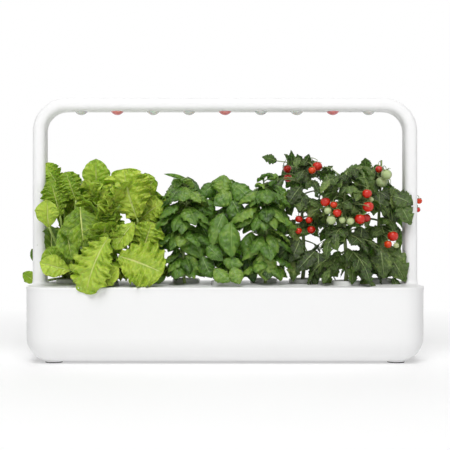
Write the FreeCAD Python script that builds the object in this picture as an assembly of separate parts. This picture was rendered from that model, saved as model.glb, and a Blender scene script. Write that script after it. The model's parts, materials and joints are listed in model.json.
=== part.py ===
import FreeCAD, Part
import math
import os
from FreeCAD import Vector

# Countertop hydroponic garden: water tank, lift-off deck with three trays of three plant pods, nine
# plants, and a lamp arch on two extension legs. Millimetres, +Z up, +X to the right, +Y to the back,
# origin on the table under the middle of the tank.

# Pods and how they stand in a tray
trays = 3
pods_per_tray = 3
pod_pitch = 62.0
row_offset = 28.0
collar_radius = 21.75
collar_height = 7.0
collar_rounding = 1.5
cup_depth = 30.0
cup_wall = 1.2
cup_taper = 4.0
cup_clearance = 0.5
cup_step = 3.0
neck_radius = 17.4
wick_radius = 3.5
wick_clearance = 0.5
wick_length = 35.0
soil_clearance = 0.3
soil_recess = 3.0

# Trays
tray_side_margin = 2.25
tray_end_margin = 12.25
tray_corner = 20.0
tray_gap = 14.0
tray_clearance = 0.3
guide_ring_wall = 2.0
guide_ring_drop = 4.0
ledge_width = 2.0
ledge_wall = 3.0
ledge_depth = 3.0

# Lamp legs and arch
leg_thickness = 20.0
leg_depth = 34.0
leg_corner = 8.5
leg_wall = 2.0
extension_length = 194.5
arch_height = 88.7
arch_bend = 42.0
fairing_height = 7.0
fairing_radius = 6.5
fairing_gap = 1.5
fairing_steps = 6
spigot_thickness = 12.0
spigot_depth = 28.0
spigot_corner = 3.0
spigot_length = 28.0
spigot_inset = 1.5
spigot_clearance = 0.2
spigot_end_gap = 2.0
socket_wall = 2.0
plug_length = 18.0
plug_fit = 0.1
wire_bore = 2.5

# Tank and deck
tank_wall = 2.5
tank_height = 109.5
tank_corner = 40.0
tank_bottom_rounding = 38.0
deck_plate = 3.5
rim_drop = 1.0
rim_lip = 0.8
rim_rounding = 1.5
rim_width = 2.5
skirt_wall = 2.0
skirt_depth = 8.0
skirt_clearance = 0.5

# Feet
foot_radius = 13.0
foot_thickness = 1.5
foot_pad_rim = 0.8
foot_from_end = 41.0
foot_from_side = 41.0

# Filling cap and float, both in the strip behind the trays
cap_radius = 11.5
cap_thickness = 2.5
cap_spigot_radius = 9.5
cap_spigot_length = 8.0
cap_clearance = 0.3
cap_wall = 1.5
cap_grip_length = 14.0
cap_grip_width = 3.0
cap_grip_height = 3.0
strip_margin = 1.25
float_radius = 9.0
float_height = 14.0
float_above_floor = 22.0
float_stem_radius = 4.0
float_clearance = 0.3
float_head_radius = 6.5
float_head_height = 2.0
float_head_recess = 1.0
float_guide_wall = 2.0
float_guide_length = 22.0

# Electronics bay behind the right-hand tray
bay_length = 48.0
bay_height = 30.0
bay_wall = 2.0
bay_clearance = 0.5
bay_cover_thickness = 2.0
screw_radius = 1.2
screw_head_radius = 2.2
screw_head_height = 1.2
screw_length = 6.0
screw_boss_radius = 2.8
screw_inset = 3.4
board_thickness = 1.6
board_margin = 1.0
board_from_front = 2.0
switch_width = 6.0
switch_height = 3.5
switch_plunger_radius = 1.6
inlet_width = 9.0
inlet_height = 11.0
inlet_length = 13.5
inlet_bore = 3.2
inlet_bore_depth = 9.5
inlet_pin_radius = 1.0
button_radius = 5.0
button_proud = 2.0
button_clearance = 0.3
button_flange = 1.4
button_flange_thickness = 1.0
button_stem_radius = 2.0
button_travel = 1.5
button_end_gap = 0.3
contact_radius = 1.2
seat_gap = 0.05
contact_spacing = 12.0
contact_pad = 1.0
contact_proud = 0.5
contact_gap = 0.3
pin_drop = 5.0
cable_radius = 1.5
base_cable_bend = 10.0
base_cable_inset = 8.7
base_cable_drop = 17.0
arch_cable_tail = 4.0

# Lamps
lamps = 9
lamp_spacing = 56.4
lens_radius = 10.0
lens_drop = 5.5
lens_neck_radius = 7.7
lens_neck_clearance = 0.3
lens_neck_height = 1.0
led_board_width = 15.0
led_board_thickness = 1.6
led_board_end = 14.0
emitter_size = 3.5
emitter_height = 0.8

# Plants: heights above the soil, and how the leaves of each kind stand
plant_gap = 1.0
plant_leg_gap = 1.0
plant_rim_gap = 1.0
plant_deck_gap = 2.0
lettuce_heights = (184.0, 188.0, 172.0)
basil_heights = (168.0, 160.0, 166.0)
tomato_heights = (202.0, 176.0, 200.0)
leaf_thickness = 3.0
stem_sides = 8
lettuce_stem_radius = 9.0
basil_stem_radius = 6.0
tomato_stem_radius = 4.0
# How many leaves there are in each tier of a plant, from the lowest tier up
lettuce_leaf_counts = (7, 6, 5, 3)
basil_leaf_counts = (5, 6, 6, 5, 4)
tomato_leaf_counts = (5, 5, 5, 5, 4)
# Each tier of leaves: as shares of the plant's height the height of the roots and of the tips, then
# the reach from the stem and the half width of a leaf.
lettuce_tiers = (
    (0.06, 0.05, 66.0, 28.0),
    (0.14, 0.45, 60.0, 30.0),
    (0.22, 0.78, 44.0, 28.0),
    (0.30, 1.00, 20.0, 24.0),
)
basil_tiers = (
    (0.26, 0.08, 42.0, 17.0),
    (0.50, 0.28, 48.0, 18.0),
    (0.74, 0.52, 50.0, 18.0),
    (0.92, 0.74, 40.0, 17.0),
    (0.95, 1.00, 22.0, 13.0),
)
tomato_tiers = (
    (0.26, 0.10, 56.0, 16.0),
    (0.44, 0.40, 58.0, 15.0),
    (0.62, 0.62, 56.0, 15.0),
    (0.80, 0.84, 46.0, 14.0),
    (0.84, 1.00, 24.0, 10.0),
)
# The turn from each plant to the next, in radians, so that no two of a kind look alike
plant_turn = 0.7
# Where a leaf is broadest, where its shoulder is and how wide that is, as shares
leaf_broadest = 0.72
leaf_shoulder = 0.3
leaf_shoulder_width = 0.75
stem_share = 0.96
ball_latitudes = (-45, 0, 45)
fruit_stalk = 0.8
stalk_rise = 12.0
# Fruit of each tomato plant: to the right of the pod, behind it, above the soil, and the radius.
tomato_fruit = (
    (
        (-22.0, 34.0, 180.0, 7.0),
        (-21.0, 34.0, 165.0, 7.0),
        (22.0, -18.0, 181.0, 7.9),
        (12.7, -30.0, 174.0, 6.2),
        (-9.0, -40.0, 97.5, 5.9),
        (7.0, -38.0, 96.0, 5.7),
        (-9.5, -41.0, 79.0, 5.4),
        (11.0, -34.0, 81.0, 6.8),
    ),
    (
        (-33.5, -20.0, 123.5, 7.7),
        (-21.0, -24.0, 119.0, 5.6),
        (-16.5, -28.0, 106.5, 6.8),
        (-30.5, -26.0, 110.0, 5.8),
        (-26.0, -32.0, 95.5, 7.2),
        (-9.0, -30.0, 95.5, 5.2),
        (3.4, -28.0, 94.0, 6.2),
        (18.5, -26.0, 97.4, 8.3),
        (29.6, -14.0, 99.0, 6.8),
        (31.0, -24.0, 116.0, 8.6),
        (37.0, -14.0, 127.0, 4.2),
        (29.6, -22.0, 136.0, 7.4),
    ),
    (
        (-6.0, -26.0, 176.0, 6.0),
        (4.0, -36.0, 167.0, 8.8),
        (-1.0, -22.0, 156.0, 9.4),
        (12.0, -48.0, 71.0, 8.6),
        (3.5, -54.0, 58.5, 6.2),
        (17.0, -50.0, 56.5, 4.6),
    ),
)

# Sizes that follow
tray_length = (pods_per_tray - 1) * pod_pitch + 2 * (collar_radius + tray_side_margin)
tray_depth = 2 * (row_offset + collar_radius + tray_end_margin)
tray_spacing = tray_length + tray_gap
hole_radius = neck_radius + cup_clearance
leg_inner_x = (trays - 1) / 2 * tray_spacing + tray_length / 2 + fairing_gap + fairing_radius
leg_x = leg_inner_x + leg_thickness / 2
tank_length = 2 * (leg_inner_x + leg_thickness)
strip_clear = 2 * (cap_radius + strip_margin)
tank_depth = tray_depth + 2 * (tank_wall + skirt_clearance + skirt_wall + strip_clear)
strip_y = tray_depth / 2 + strip_clear / 2
spigot_x = leg_x - spigot_inset

tank_base = foot_thickness
tank_floor = tank_base + tank_wall
tank_top = tank_base + tank_height
deck_under = tank_top + rim_drop
deck_top = deck_under + deck_plate
collar_top = deck_top + collar_height
soil_top = collar_top - soil_recess
cup_bottom = deck_top - cup_depth
wick_bottom = cup_bottom - wick_length
fairing_top = deck_top + fairing_height
extension_top = fairing_top + extension_length
arch_top = extension_top + arch_height
bar_bottom = arch_top - leg_thickness
bar_inner_floor = bar_bottom + leg_wall
arch_axis_z = arch_top - leg_thickness / 2
bend = max(arch_bend, leg_thickness / 2 + 1)

bay_back = tank_depth / 2
bay_front = tray_depth / 2 + ledge_wall + tray_clearance
bay_right = tank_length / 2 - tank_corner - bay_clearance
bay_left = bay_right - bay_length
bay_bottom = deck_under - bay_height
bay_panel_z = (bay_bottom + deck_under) / 2
inlet_x = bay_left + bay_length / 3
button_x = bay_left + bay_length * 2 / 3
board_front = bay_front + bay_wall + board_from_front


def rounded_outline(length, depth, radius, z, x=0.0, y=0.0):
    """Closed wire of a rectangle with round corners, level at height z."""
    half_length = length / 2
    half_depth = depth / 2
    corner = min(radius, half_length - 0.01, half_depth - 0.01)
    diagonal = corner * (1 - math.sqrt(0.5))
    edges = []
    corners = ((1, -1), (1, 1), (-1, 1), (-1, -1))
    for index, (sx, sy) in enumerate(corners):
        on_end = Vector(x + sx * half_length, y + sy * (half_depth - corner), z)
        on_side = Vector(x + sx * (half_length - corner), y + sy * half_depth, z)
        middle = Vector(x + sx * (half_length - diagonal), y + sy * (half_depth - diagonal), z)
        start, end = (on_side, on_end) if index % 2 == 0 else (on_end, on_side)
        edges.append((start, middle, end))
    wire = []
    for index, (start, middle, end) in enumerate(edges):
        wire.append(Part.Arc(start, middle, end).toShape())
        following = edges[(index + 1) % len(edges)][0]
        if end.distanceToPoint(following) > 1e-6:
            wire.append(Part.makeLine(end, following))
    return Part.Wire(wire)


def slab(length, depth, radius, low, high, x=0.0, y=0.0):
    """Upright prism of a rounded rectangle between two heights."""
    face = Part.Face(rounded_outline(length, depth, radius, low, x, y))
    return face.extrude(Vector(0, 0, high - low))


def block(x_low, x_high, y_low, y_high, z_low, z_high):
    """Plain box between two corners."""
    return Part.makeBox(x_high - x_low, y_high - y_low, z_high - z_low, Vector(x_low, y_low, z_low))


def rod(radius, low, high, x=0.0, y=0.0):
    """Upright cylinder."""
    return Part.makeCylinder(radius, high - low, Vector(x, y, low))


def rod_along_y(radius, y_low, y_high, x, z):
    """Cylinder that lies along Y."""
    return Part.makeCylinder(radius, y_high - y_low, Vector(x, y_low, z), Vector(0, 1, 0))


def turned(profile, x=0.0, y=0.0):
    """Solid of revolution about the upright axis at x, y. The profile is (radius, height) points."""
    points = [Vector(x + radius, y, height) for radius, height in profile]
    face = Part.Face(Part.makePolygon(points + points[:1]))
    return face.revolve(Vector(x, y, 0), Vector(0, 0, 1), 360)


def fused(shapes):
    """One solid from several that meet."""
    whole = shapes[0]
    if len(shapes) > 1:
        whole = whole.multiFuse(shapes[1:])
    return whole.removeSplitter()


def edges_at(shape, height):
    """The edges of a shape that lie level at one height."""
    return [
        edge
        for edge in shape.Edges
        if abs(edge.BoundBox.ZMin - height) < 1e-4 and abs(edge.BoundBox.ZMax - height) < 1e-4
    ]


def save(name, shape):
    """Writes one sub-part."""
    shape.exportStep(os.path.join("parts", name + ".step"))


def pod_places():
    """Plan position of each pod from left to right: the middle one of a tray stands in front."""
    places = []
    for tray in range(trays):
        tray_x = (tray - (trays - 1) / 2) * tray_spacing
        for pod in range(pods_per_tray):
            across = pod - (pods_per_tray - 1) / 2
            row = -row_offset if pod % 2 == 1 else row_offset
            places.append((tray_x + across * pod_pitch, row))
    return places


# Tank
def tank_shell(offset, low, high):
    """Tank-shaped solid, its walls moved in by the offset, with the rounded bottom edge."""
    corner = max(tank_corner - offset, 1.0)
    body = slab(tank_length - 2 * offset, tank_depth - 2 * offset, corner, low, high)
    rounding = min(tank_bottom_rounding - offset, corner - 0.5, (high - low) * 0.8)
    return body.makeFillet(rounding, edges_at(body, low))


def foot_places():
    """Plan positions of the four feet."""
    x = tank_length / 2 - foot_from_end
    y = tank_depth / 2 - foot_from_side
    return [(sx * x, sy * y) for sx in (-1, 1) for sy in (-1, 1)]


def make_tank():
    outer = tank_shell(0, tank_base, tank_top)
    pads = [rod(foot_radius + foot_pad_rim, tank_base, tank_floor, x, y) for x, y in foot_places()]
    outer = fused([outer] + pads)
    inner = tank_shell(tank_wall, tank_floor, tank_top + tank_wall)
    notch = block(
        bay_left - bay_clearance,
        bay_right + bay_clearance,
        tank_depth / 2 - 2 * tank_wall,
        tank_depth / 2 + tank_wall,
        bay_bottom - bay_cover_thickness - bay_clearance,
        tank_top + tank_wall,
    )
    return outer.cut(inner).cut(notch).removeSplitter()


def make_feet():
    return Part.makeCompound([rod(foot_radius, 0, foot_thickness, x, y) for x, y in foot_places()])


# Deck
def leg_sides():
    """Direction of each leg from the middle."""
    return (("left", -1), ("right", 1))


def fairing(side):
    """Concave flare that the leg stands on: the leg's outline, wider towards the deck."""
    wires = []
    for step in range(fairing_steps + 1):
        angle = math.pi / 2 * step / fairing_steps
        spread = fairing_radius * (1 - math.sin(angle))
        height = deck_top + fairing_height * (1 - math.cos(angle))
        corner = leg_corner + spread
        wires.append(
            rounded_outline(
                leg_thickness + 2 * spread, leg_depth + 2 * spread, corner, height, side * leg_x
            )
        )
    flare = Part.makeLoft(wires, True, True)
    return flare.common(slab(tank_length, tank_depth, tank_corner, deck_top, fairing_top))


def pocket(side, low, high):
    """The space that a leg's spigot slides into."""
    return slab(
        spigot_thickness + 2 * spigot_clearance,
        spigot_depth + 2 * spigot_clearance,
        spigot_corner + spigot_clearance,
        low,
        high,
        side * spigot_x,
    )


def socket_tube(side):
    """Closed tube under the deck around the pocket."""
    wider = 2 * (spigot_clearance + socket_wall)
    return slab(
        spigot_thickness + wider,
        spigot_depth + wider,
        spigot_corner + socket_wall,
        fairing_top - spigot_length - spigot_end_gap - socket_wall,
        deck_top,
        side * spigot_x,
    )


def tray_opening(x, low, high, narrower=0.0):
    """Prism of a tray's seat, its sides moved in by narrower."""
    return slab(
        tray_length + 2 * (tray_clearance - narrower),
        tray_depth + 2 * (tray_clearance - narrower),
        max(tray_corner + tray_clearance - narrower, 1.0),
        low,
        high,
        x,
    )


def tray_centres():
    return [(tray - (trays - 1) / 2) * tray_spacing for tray in range(trays)]


def deck_blank():
    """Plate with its rounded rim and the skirt that locates it in the tank."""
    rim = slab(
        tank_length + 2 * rim_lip,
        tank_depth + 2 * rim_lip,
        tank_corner + rim_lip,
        tank_top,
        deck_top,
    )
    rim = rim.makeFillet(min(rim_rounding, deck_plate * 0.8), edges_at(rim, deck_top))
    relief = slab(
        tank_length - 2 * rim_width,
        tank_depth - 2 * rim_width,
        tank_corner - rim_width,
        tank_top - rim_drop,
        deck_under,
    )
    skirt_offset = tank_wall + skirt_clearance
    skirt_low = tank_top - skirt_depth
    skirt = slab(
        tank_length - 2 * skirt_offset,
        tank_depth - 2 * skirt_offset,
        tank_corner - skirt_offset,
        skirt_low,
        deck_under,
    )
    inside_offset = skirt_offset + skirt_wall
    inside = slab(
        tank_length - 2 * inside_offset,
        tank_depth - 2 * inside_offset,
        tank_corner - inside_offset,
        skirt_low - rim_drop,
        deck_under,
    )
    return rim.cut(relief), skirt.cut(inside)


def bay_box():
    """Electronics bay: a box that hangs from the deck, its back plate flush with the tank's back."""
    return block(bay_left, bay_right, bay_front, bay_back, bay_bottom, deck_under)


def bay_hollow():
    """The room inside the bay, with the screw bosses left standing."""
    hollow = block(
        bay_left + bay_wall,
        bay_right - bay_wall,
        bay_front + bay_wall,
        bay_back - bay_wall,
        bay_bottom - bay_wall,
        deck_under,
    )
    bosses = [rod(screw_boss_radius, bay_bottom, deck_under, x, y) for x, y in screw_places()]
    return hollow.cut(Part.makeCompound(bosses))


def screw_places():
    """Plan positions of the four screws of the bay's cover."""
    return [
        (x, y)
        for x in (bay_left + screw_inset, bay_right - screw_inset)
        for y in (bay_front + screw_inset, bay_back - screw_inset - bay_wall)
    ]


def make_deck():
    plate, skirt = deck_blank()
    shapes = [plate, skirt, bay_box()]
    for x in tray_centres():
        ledge = tray_opening(x, deck_under - ledge_depth, deck_under, -ledge_wall)
        shapes.append(ledge)
    for _, side in leg_sides():
        shapes.append(fairing(side))
        shapes.append(socket_tube(side))
    deck = fused(shapes)
    cuts = [bay_hollow()]
    for x in tray_centres():
        cuts.append(tray_opening(x, deck_under, deck_top + collar_height))
        cuts.append(tray_opening(x, deck_under - 2 * ledge_depth, deck_under, ledge_width))
    for _, side in leg_sides():
        pocket_floor = fairing_top - spigot_length - spigot_end_gap
        cuts.append(pocket(side, pocket_floor, fairing_top + fairing_height))
    for y in contact_rows():
        low = fairing_top - 2 * spigot_length
        cuts.append(rod(contact_radius + seat_gap, low, fairing_top, spigot_x, y))
    head_floor = deck_top - float_head_recess
    cuts.append(rod(float_head_radius + float_clearance, head_floor, deck_top + 1, float_x, strip_y))
    cuts.append(
        rod(float_stem_radius + float_clearance, tank_top - 1, deck_top, float_x, strip_y)
    )
    cap_hole_low = deck_top - 2 * cap_spigot_length
    cuts.append(rod(cap_spigot_radius + cap_clearance, cap_hole_low, deck_top + 1, cap_x, strip_y))
    cuts.append(
        block(
            inlet_x - inlet_width / 2 - seat_gap,
            inlet_x + inlet_width / 2 + seat_gap,
            bay_back - 2 * bay_wall,
            bay_back + bay_wall,
            bay_panel_z - inlet_height / 2 - seat_gap,
            bay_panel_z + inlet_height / 2 + seat_gap,
        )
    )
    button_hole = button_radius + button_clearance
    cuts.append(
        rod_along_y(button_hole, bay_back - 2 * bay_wall, bay_back + bay_wall, button_x, bay_panel_z)
    )
    for x, y in screw_places():
        top = bay_bottom + screw_length + seat_gap
        cuts.append(rod(screw_radius + seat_gap, bay_bottom - 1, top, x, y))
    cuts.append(base_cable_hole())
    return deck.cut(Part.makeCompound(cuts)).removeSplitter()


# Filling cap and float
cap_x = -tray_spacing - pod_pitch / 2
float_x = -tray_spacing + pod_pitch


def make_fill_cap():
    top = deck_top + cap_thickness
    low = deck_top - cap_spigot_length
    cup = turned(
        (
            (0, top),
            (cap_radius, top),
            (cap_radius, deck_top),
            (cap_spigot_radius, deck_top),
            (cap_spigot_radius, low),
            (cap_spigot_radius - cap_wall, low),
            (cap_spigot_radius - cap_wall, deck_top),
            (0, deck_top),
        ),
        cap_x,
        strip_y,
    )
    grip = slab(
        cap_grip_length, cap_grip_width, cap_grip_width, top, top + cap_grip_height, cap_x, strip_y
    )
    return fused([cup, grip])


def make_float():
    low = tank_floor + float_above_floor
    head_low = deck_top - float_head_recess
    body = rod(float_radius, low, low + float_height, float_x, strip_y)
    stem = rod(float_stem_radius, low + float_height, head_low, float_x, strip_y)
    head = rod(float_head_radius, head_low, head_low + float_head_height, float_x, strip_y)
    return fused([body, stem, head])


def make_float_guide():
    bore = float_stem_radius + float_clearance
    tube = rod(bore + float_guide_wall, deck_under - float_guide_length, deck_under, float_x, strip_y)
    hole = rod(bore, deck_under - 2 * float_guide_length, deck_under + 1, float_x, strip_y)
    return tube.cut(hole)


# Electronics
def make_bay_cover():
    plate = block(
        bay_left, bay_right, bay_front, bay_back, bay_bottom - bay_cover_thickness, bay_bottom
    )
    for x, y in screw_places():
        low = bay_bottom - 2 * bay_cover_thickness
        hole = rod(screw_radius + seat_gap, low, bay_bottom, x, y)
        plate = plate.cut(hole)
    return plate


def make_bay_screws():
    screws = []
    for x, y in screw_places():
        head_top = bay_bottom - bay_cover_thickness
        head = rod(screw_head_radius, head_top - screw_head_height, head_top, x, y)
        shank = rod(screw_radius, head_top, bay_bottom + screw_length, x, y)
        screws.append(fused([head, shank]))
    return Part.makeCompound(screws)


def make_control_board():
    """Upright board in the bay, with the switch behind the timer button."""
    margin = bay_wall + board_margin
    board_back = board_front + board_thickness
    boss_room = screw_inset + screw_boss_radius + board_margin
    board = block(
        bay_left + boss_room,
        bay_right - boss_room,
        board_front,
        board_back,
        bay_bottom,
        deck_under - margin,
    )
    switch = block(
        button_x - switch_width / 2,
        button_x + switch_width / 2,
        board_back,
        board_back + switch_height,
        bay_panel_z - switch_width / 2,
        bay_panel_z + switch_width / 2,
    )
    plunger = rod_along_y(
        switch_plunger_radius,
        board_back + switch_height,
        board_back + switch_height + button_travel,
        button_x,
        bay_panel_z,
    )
    return fused([board, switch, plunger])


def make_dc_inlet():
    body = block(
        inlet_x - inlet_width / 2,
        inlet_x + inlet_width / 2,
        bay_back - inlet_length,
        bay_back,
        bay_panel_z - inlet_height / 2,
        bay_panel_z + inlet_height / 2,
    )
    bore_end = bay_back - inlet_bore_depth
    bore = rod_along_y(inlet_bore, bore_end, bay_back + 1, inlet_x, bay_panel_z)
    pin = rod_along_y(inlet_pin_radius, bore_end, bay_back - 1, inlet_x, bay_panel_z)
    return fused([body.cut(bore), pin])


def make_timer_button():
    inner_face = bay_back - bay_wall
    cap = rod_along_y(button_radius, inner_face, bay_back + button_proud, button_x, bay_panel_z)
    rim = [edge for edge in cap.Edges if edge.BoundBox.YMin > bay_back + button_proud / 2]
    cap = cap.makeFillet(button_proud / 2, rim)
    flange = rod_along_y(
        button_radius + button_flange,
        inner_face - button_flange_thickness,
        inner_face,
        button_x,
        bay_panel_z,
    )
    switch_tip = board_front + board_thickness + switch_height + button_travel
    stem = rod_along_y(
        button_stem_radius,
        switch_tip + button_travel + button_end_gap,
        inner_face - button_flange_thickness,
        button_x,
        bay_panel_z,
    )
    return fused([cap, flange, stem])


def contact_rows():
    """Y positions of the pair of contacts in the right-hand leg."""
    return (-contact_spacing / 2, contact_spacing / 2)


def contact_pairs(levels, wider=0.0):
    """Pairs of small round contacts in the right-hand leg, one pair per (low, high) level."""
    radius = contact_radius + wider
    return [rod(radius, low, high, spigot_x, y) for low, high in levels for y in contact_rows()]


def spigot_pad_level(seat):
    """Low and high end of the contact pads in a spigot that hangs from the seat height."""
    tip = seat - spigot_length
    return (tip - contact_proud, tip + contact_pad)


def pin_level(seat):
    """Low and high end of the pins that meet the pads of a spigot from below."""
    tip = seat - spigot_length - contact_proud - contact_gap
    return (tip - pin_drop, tip)


def base_cable_path():
    """Points of the cable from the bay to the right-hand socket: start, corner and end."""
    y = bay_front + base_cable_inset
    z = deck_under - base_cable_drop
    start = Vector(bay_right, y, z)
    corner = Vector(spigot_x - spigot_thickness / 4, y, z)
    end = Vector(corner.x, spigot_depth / 2 + spigot_clearance + socket_wall, z)
    return start, corner, end


def base_cable_hole():
    """Bore of the cable's way out of the bay's side wall."""
    start, corner, end = base_cable_path()
    low = Vector(start.x - 2 * bay_wall, start.y, start.z)
    return Part.makeCylinder(cable_radius + seat_gap, 3 * bay_wall, low, Vector(1, 0, 0))


def make_base_cable():
    start, corner, end = base_cable_path()
    inside = Vector(start.x - bay_wall, start.y, start.z)
    bend_start = Vector(corner.x - base_cable_bend, corner.y, corner.z)
    bend_end = Vector(corner.x, corner.y - base_cable_bend, corner.z)
    bend_centre = Vector(bend_start.x, bend_end.y, corner.z)
    diagonal = base_cable_bend * math.sqrt(0.5)
    middle = bend_centre + Vector(diagonal, diagonal, 0)
    path = Part.Wire(
        [
            Part.makeLine(inside, bend_start),
            Part.Arc(bend_start, middle, bend_end).toShape(),
            Part.makeLine(bend_end, end),
        ]
    )
    section = Part.Wire(Part.makeCircle(cable_radius, inside, Vector(1, 0, 0)))
    return path.makePipeShell([section], True, False)


# Lamp legs and arch
def make_extension(side):
    outer = slab(leg_thickness, leg_depth, leg_corner, fairing_top, extension_top, side * leg_x)
    block_low = extension_top - spigot_length - spigot_end_gap - socket_wall
    hollow = slab(
        leg_thickness - 2 * leg_wall,
        leg_depth - 2 * leg_wall,
        leg_corner - leg_wall,
        fairing_top - 1,
        block_low,
        side * leg_x,
    )
    mouth = pocket(side, block_low + socket_wall, extension_top + 1)
    shape = outer.cut(hollow).cut(mouth)
    if side < 0:
        return shape
    hole = contact_radius + seat_gap
    pins = [rod(hole, block_low - 1, extension_top, spigot_x, y) for y in contact_rows()]
    return shape.cut(Part.makeCompound(pins))


def make_leg_plug(side, seat):
    """Plug in the lower end of a leg, with the spigot that goes into the socket below the seat."""
    narrower = 2 * (leg_wall + plug_fit)
    upper = slab(
        leg_thickness - narrower,
        leg_depth - narrower,
        leg_corner - leg_wall - plug_fit,
        seat,
        seat + plug_length,
        side * leg_x,
    )
    lower = slab(
        spigot_thickness, spigot_depth, spigot_corner, seat - spigot_length, seat, side * spigot_x
    )
    plug = fused([upper, lower])
    bore = rod(wire_bore, seat - 2 * spigot_length, seat + 2 * plug_length, side * spigot_x)
    plug = plug.cut(bore)
    if side > 0:
        low, high = spigot_pad_level(seat)
        plug = plug.cut(Part.makeCompound(contact_pairs([(low, high)], seat_gap)))
    return plug


def arch_sweep(inset):
    """The arch's outline swept along its path, its surface moved in by the inset."""
    thickness = leg_thickness - 2 * inset
    depth = leg_depth - 2 * inset
    corner = leg_corner - inset
    leg_high = arch_axis_z - bend
    shapes = []
    for _, side in leg_sides():
        shapes.append(slab(thickness, depth, corner, extension_top, leg_high, side * leg_x))
        outline = Part.Face(rounded_outline(thickness, depth, corner, leg_high, side * leg_x))
        pivot = Vector(side * (leg_x - bend), 0, leg_high)
        shapes.append(outline.revolve(pivot, Vector(0, 1, 0), -side * 90))
    bar = slab(thickness, depth, corner, 0, 2 * (leg_x - bend))
    bar.rotate(Vector(0, 0, 0), Vector(0, 1, 0), 90)
    bar.translate(Vector(-(leg_x - bend), 0, arch_axis_z))
    return fused(shapes + [bar])


def lamp_places():
    return [(lamp - (lamps - 1) / 2) * lamp_spacing for lamp in range(lamps)]


def make_arch_tube():
    tube = arch_sweep(0).cut(arch_sweep(leg_wall))
    hole = lens_neck_radius + lens_neck_clearance
    holes = [rod(hole, bar_bottom - 1, bar_inner_floor + 0.5, x) for x in lamp_places()]
    return tube.cut(Part.makeCompound(holes))


def make_lens(x):
    """Shallow dome under the bar, with a neck that locates it in its hole."""
    sphere_radius = (lens_radius**2 + lens_drop**2) / (2 * lens_drop)
    ball = Part.makeSphere(sphere_radius, Vector(x, 0, bar_bottom - lens_drop + sphere_radius))
    below = rod(2 * lens_radius, bar_bottom - 2 * lens_drop, bar_bottom, x)
    dome = ball.common(below)
    neck = rod(lens_neck_radius, bar_bottom, bar_bottom + lens_neck_height, x)
    return fused([dome, neck])


def make_lenses(red):
    """The middle lens of each three is red."""
    chosen = [x for index, x in enumerate(lamp_places()) if (index % 3 == 1) == red]
    return Part.makeCompound([make_lens(x) for x in chosen])


def led_board_half():
    return (lamps - 1) / 2 * lamp_spacing + led_board_end


def make_led_board():
    half = led_board_half()
    side = led_board_width / 2
    top = bar_inner_floor + led_board_thickness
    return block(-half, half, -side, side, bar_inner_floor, top)


def make_led_emitters():
    half = emitter_size / 2
    low = bar_inner_floor - emitter_height
    return Part.makeCompound(
        [block(x - half, x + half, -half, half, low, bar_inner_floor) for x in lamp_places()]
    )


def make_arch_cable():
    """Cable from the LED board round the right-hand bend to the plug in that leg."""
    z = bar_inner_floor + led_board_thickness + cable_radius
    start = Vector(led_board_half() - arch_cable_tail, 0, z)
    x = spigot_x
    corner_radius = max(x - (leg_x - bend) - 1.0, 2 * cable_radius)
    bend_start = Vector(x - corner_radius, 0, z)
    bend_end = Vector(x, 0, z - corner_radius)
    middle = Vector(
        x - corner_radius * (1 - math.sqrt(0.5)), 0, z - corner_radius * (1 - math.sqrt(0.5))
    )
    end = Vector(x, 0, extension_top + plug_length - 2 * arch_cable_tail)
    path = Part.Wire(
        [
            Part.makeLine(start, bend_start),
            Part.Arc(bend_start, middle, bend_end).toShape(),
            Part.makeLine(bend_end, end),
        ]
    )
    section = Part.Wire(Part.makeCircle(cable_radius, start, Vector(1, 0, 0)))
    return path.makePipeShell([section], True, False)


# Trays and pods
def make_tray(index):
    x = tray_centres()[index]
    plate = slab(tray_length, tray_depth, tray_corner, deck_under, deck_top, x)
    mine = [place for place in pod_places() if abs(place[0] - x) < tray_length / 2]
    rings = [
        rod(hole_radius + guide_ring_wall, deck_under - guide_ring_drop, deck_under, px, py)
        for px, py in mine
    ]
    holes = [rod(hole_radius, tank_base, deck_top + 1, px, py) for px, py in mine]
    return fused([plate] + rings).cut(Part.makeCompound(holes))


def make_pod_cup(x, y):
    bottom_radius = neck_radius - cup_taper
    inside_top = neck_radius - cup_wall
    return turned(
        (
            (wick_radius + wick_clearance, cup_bottom),
            (bottom_radius, cup_bottom),
            (neck_radius, deck_top - cup_step),
            (neck_radius, deck_top),
            (collar_radius, deck_top),
            (collar_radius, collar_top - collar_rounding),
            (collar_radius - collar_rounding, collar_top),
            (collar_radius - 2 * collar_rounding, collar_top),
            (inside_top, soil_top - soil_clearance),
            (inside_top, deck_top - cup_step),
            (bottom_radius - cup_wall, cup_bottom + cup_wall),
            (wick_radius + wick_clearance, cup_bottom + cup_wall),
        ),
        x,
        y,
    )


def make_soil_plug(x, y):
    """Soil plug that fills the cup, with the wick that hangs from it into the water."""
    top_radius = neck_radius - cup_wall - soil_clearance
    bottom_radius = neck_radius - cup_taper - cup_wall - soil_clearance
    floor = cup_bottom + cup_wall
    return turned(
        (
            (0, wick_bottom),
            (wick_radius, wick_bottom),
            (wick_radius, floor),
            (bottom_radius, floor),
            (top_radius, deck_top - cup_step),
            (top_radius, soil_top),
            (0, soil_top),
        ),
        x,
        y,
    )


# Plants
def clipped(polygon, point, normal):
    """The part of a flat polygon that lies against the normal's side of a line."""
    kept = []
    for index, here in enumerate(polygon):
        following = polygon[(index + 1) % len(polygon)]
        depth_here = (here - point).dot(normal)
        depth_next = (following - point).dot(normal)
        if depth_here <= 0:
            kept.append(here)
        if (depth_here < 0 < depth_next) or (depth_next < 0 < depth_here):
            kept.append(here + (following - here) * (depth_here / (depth_here - depth_next)))
    return kept


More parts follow.
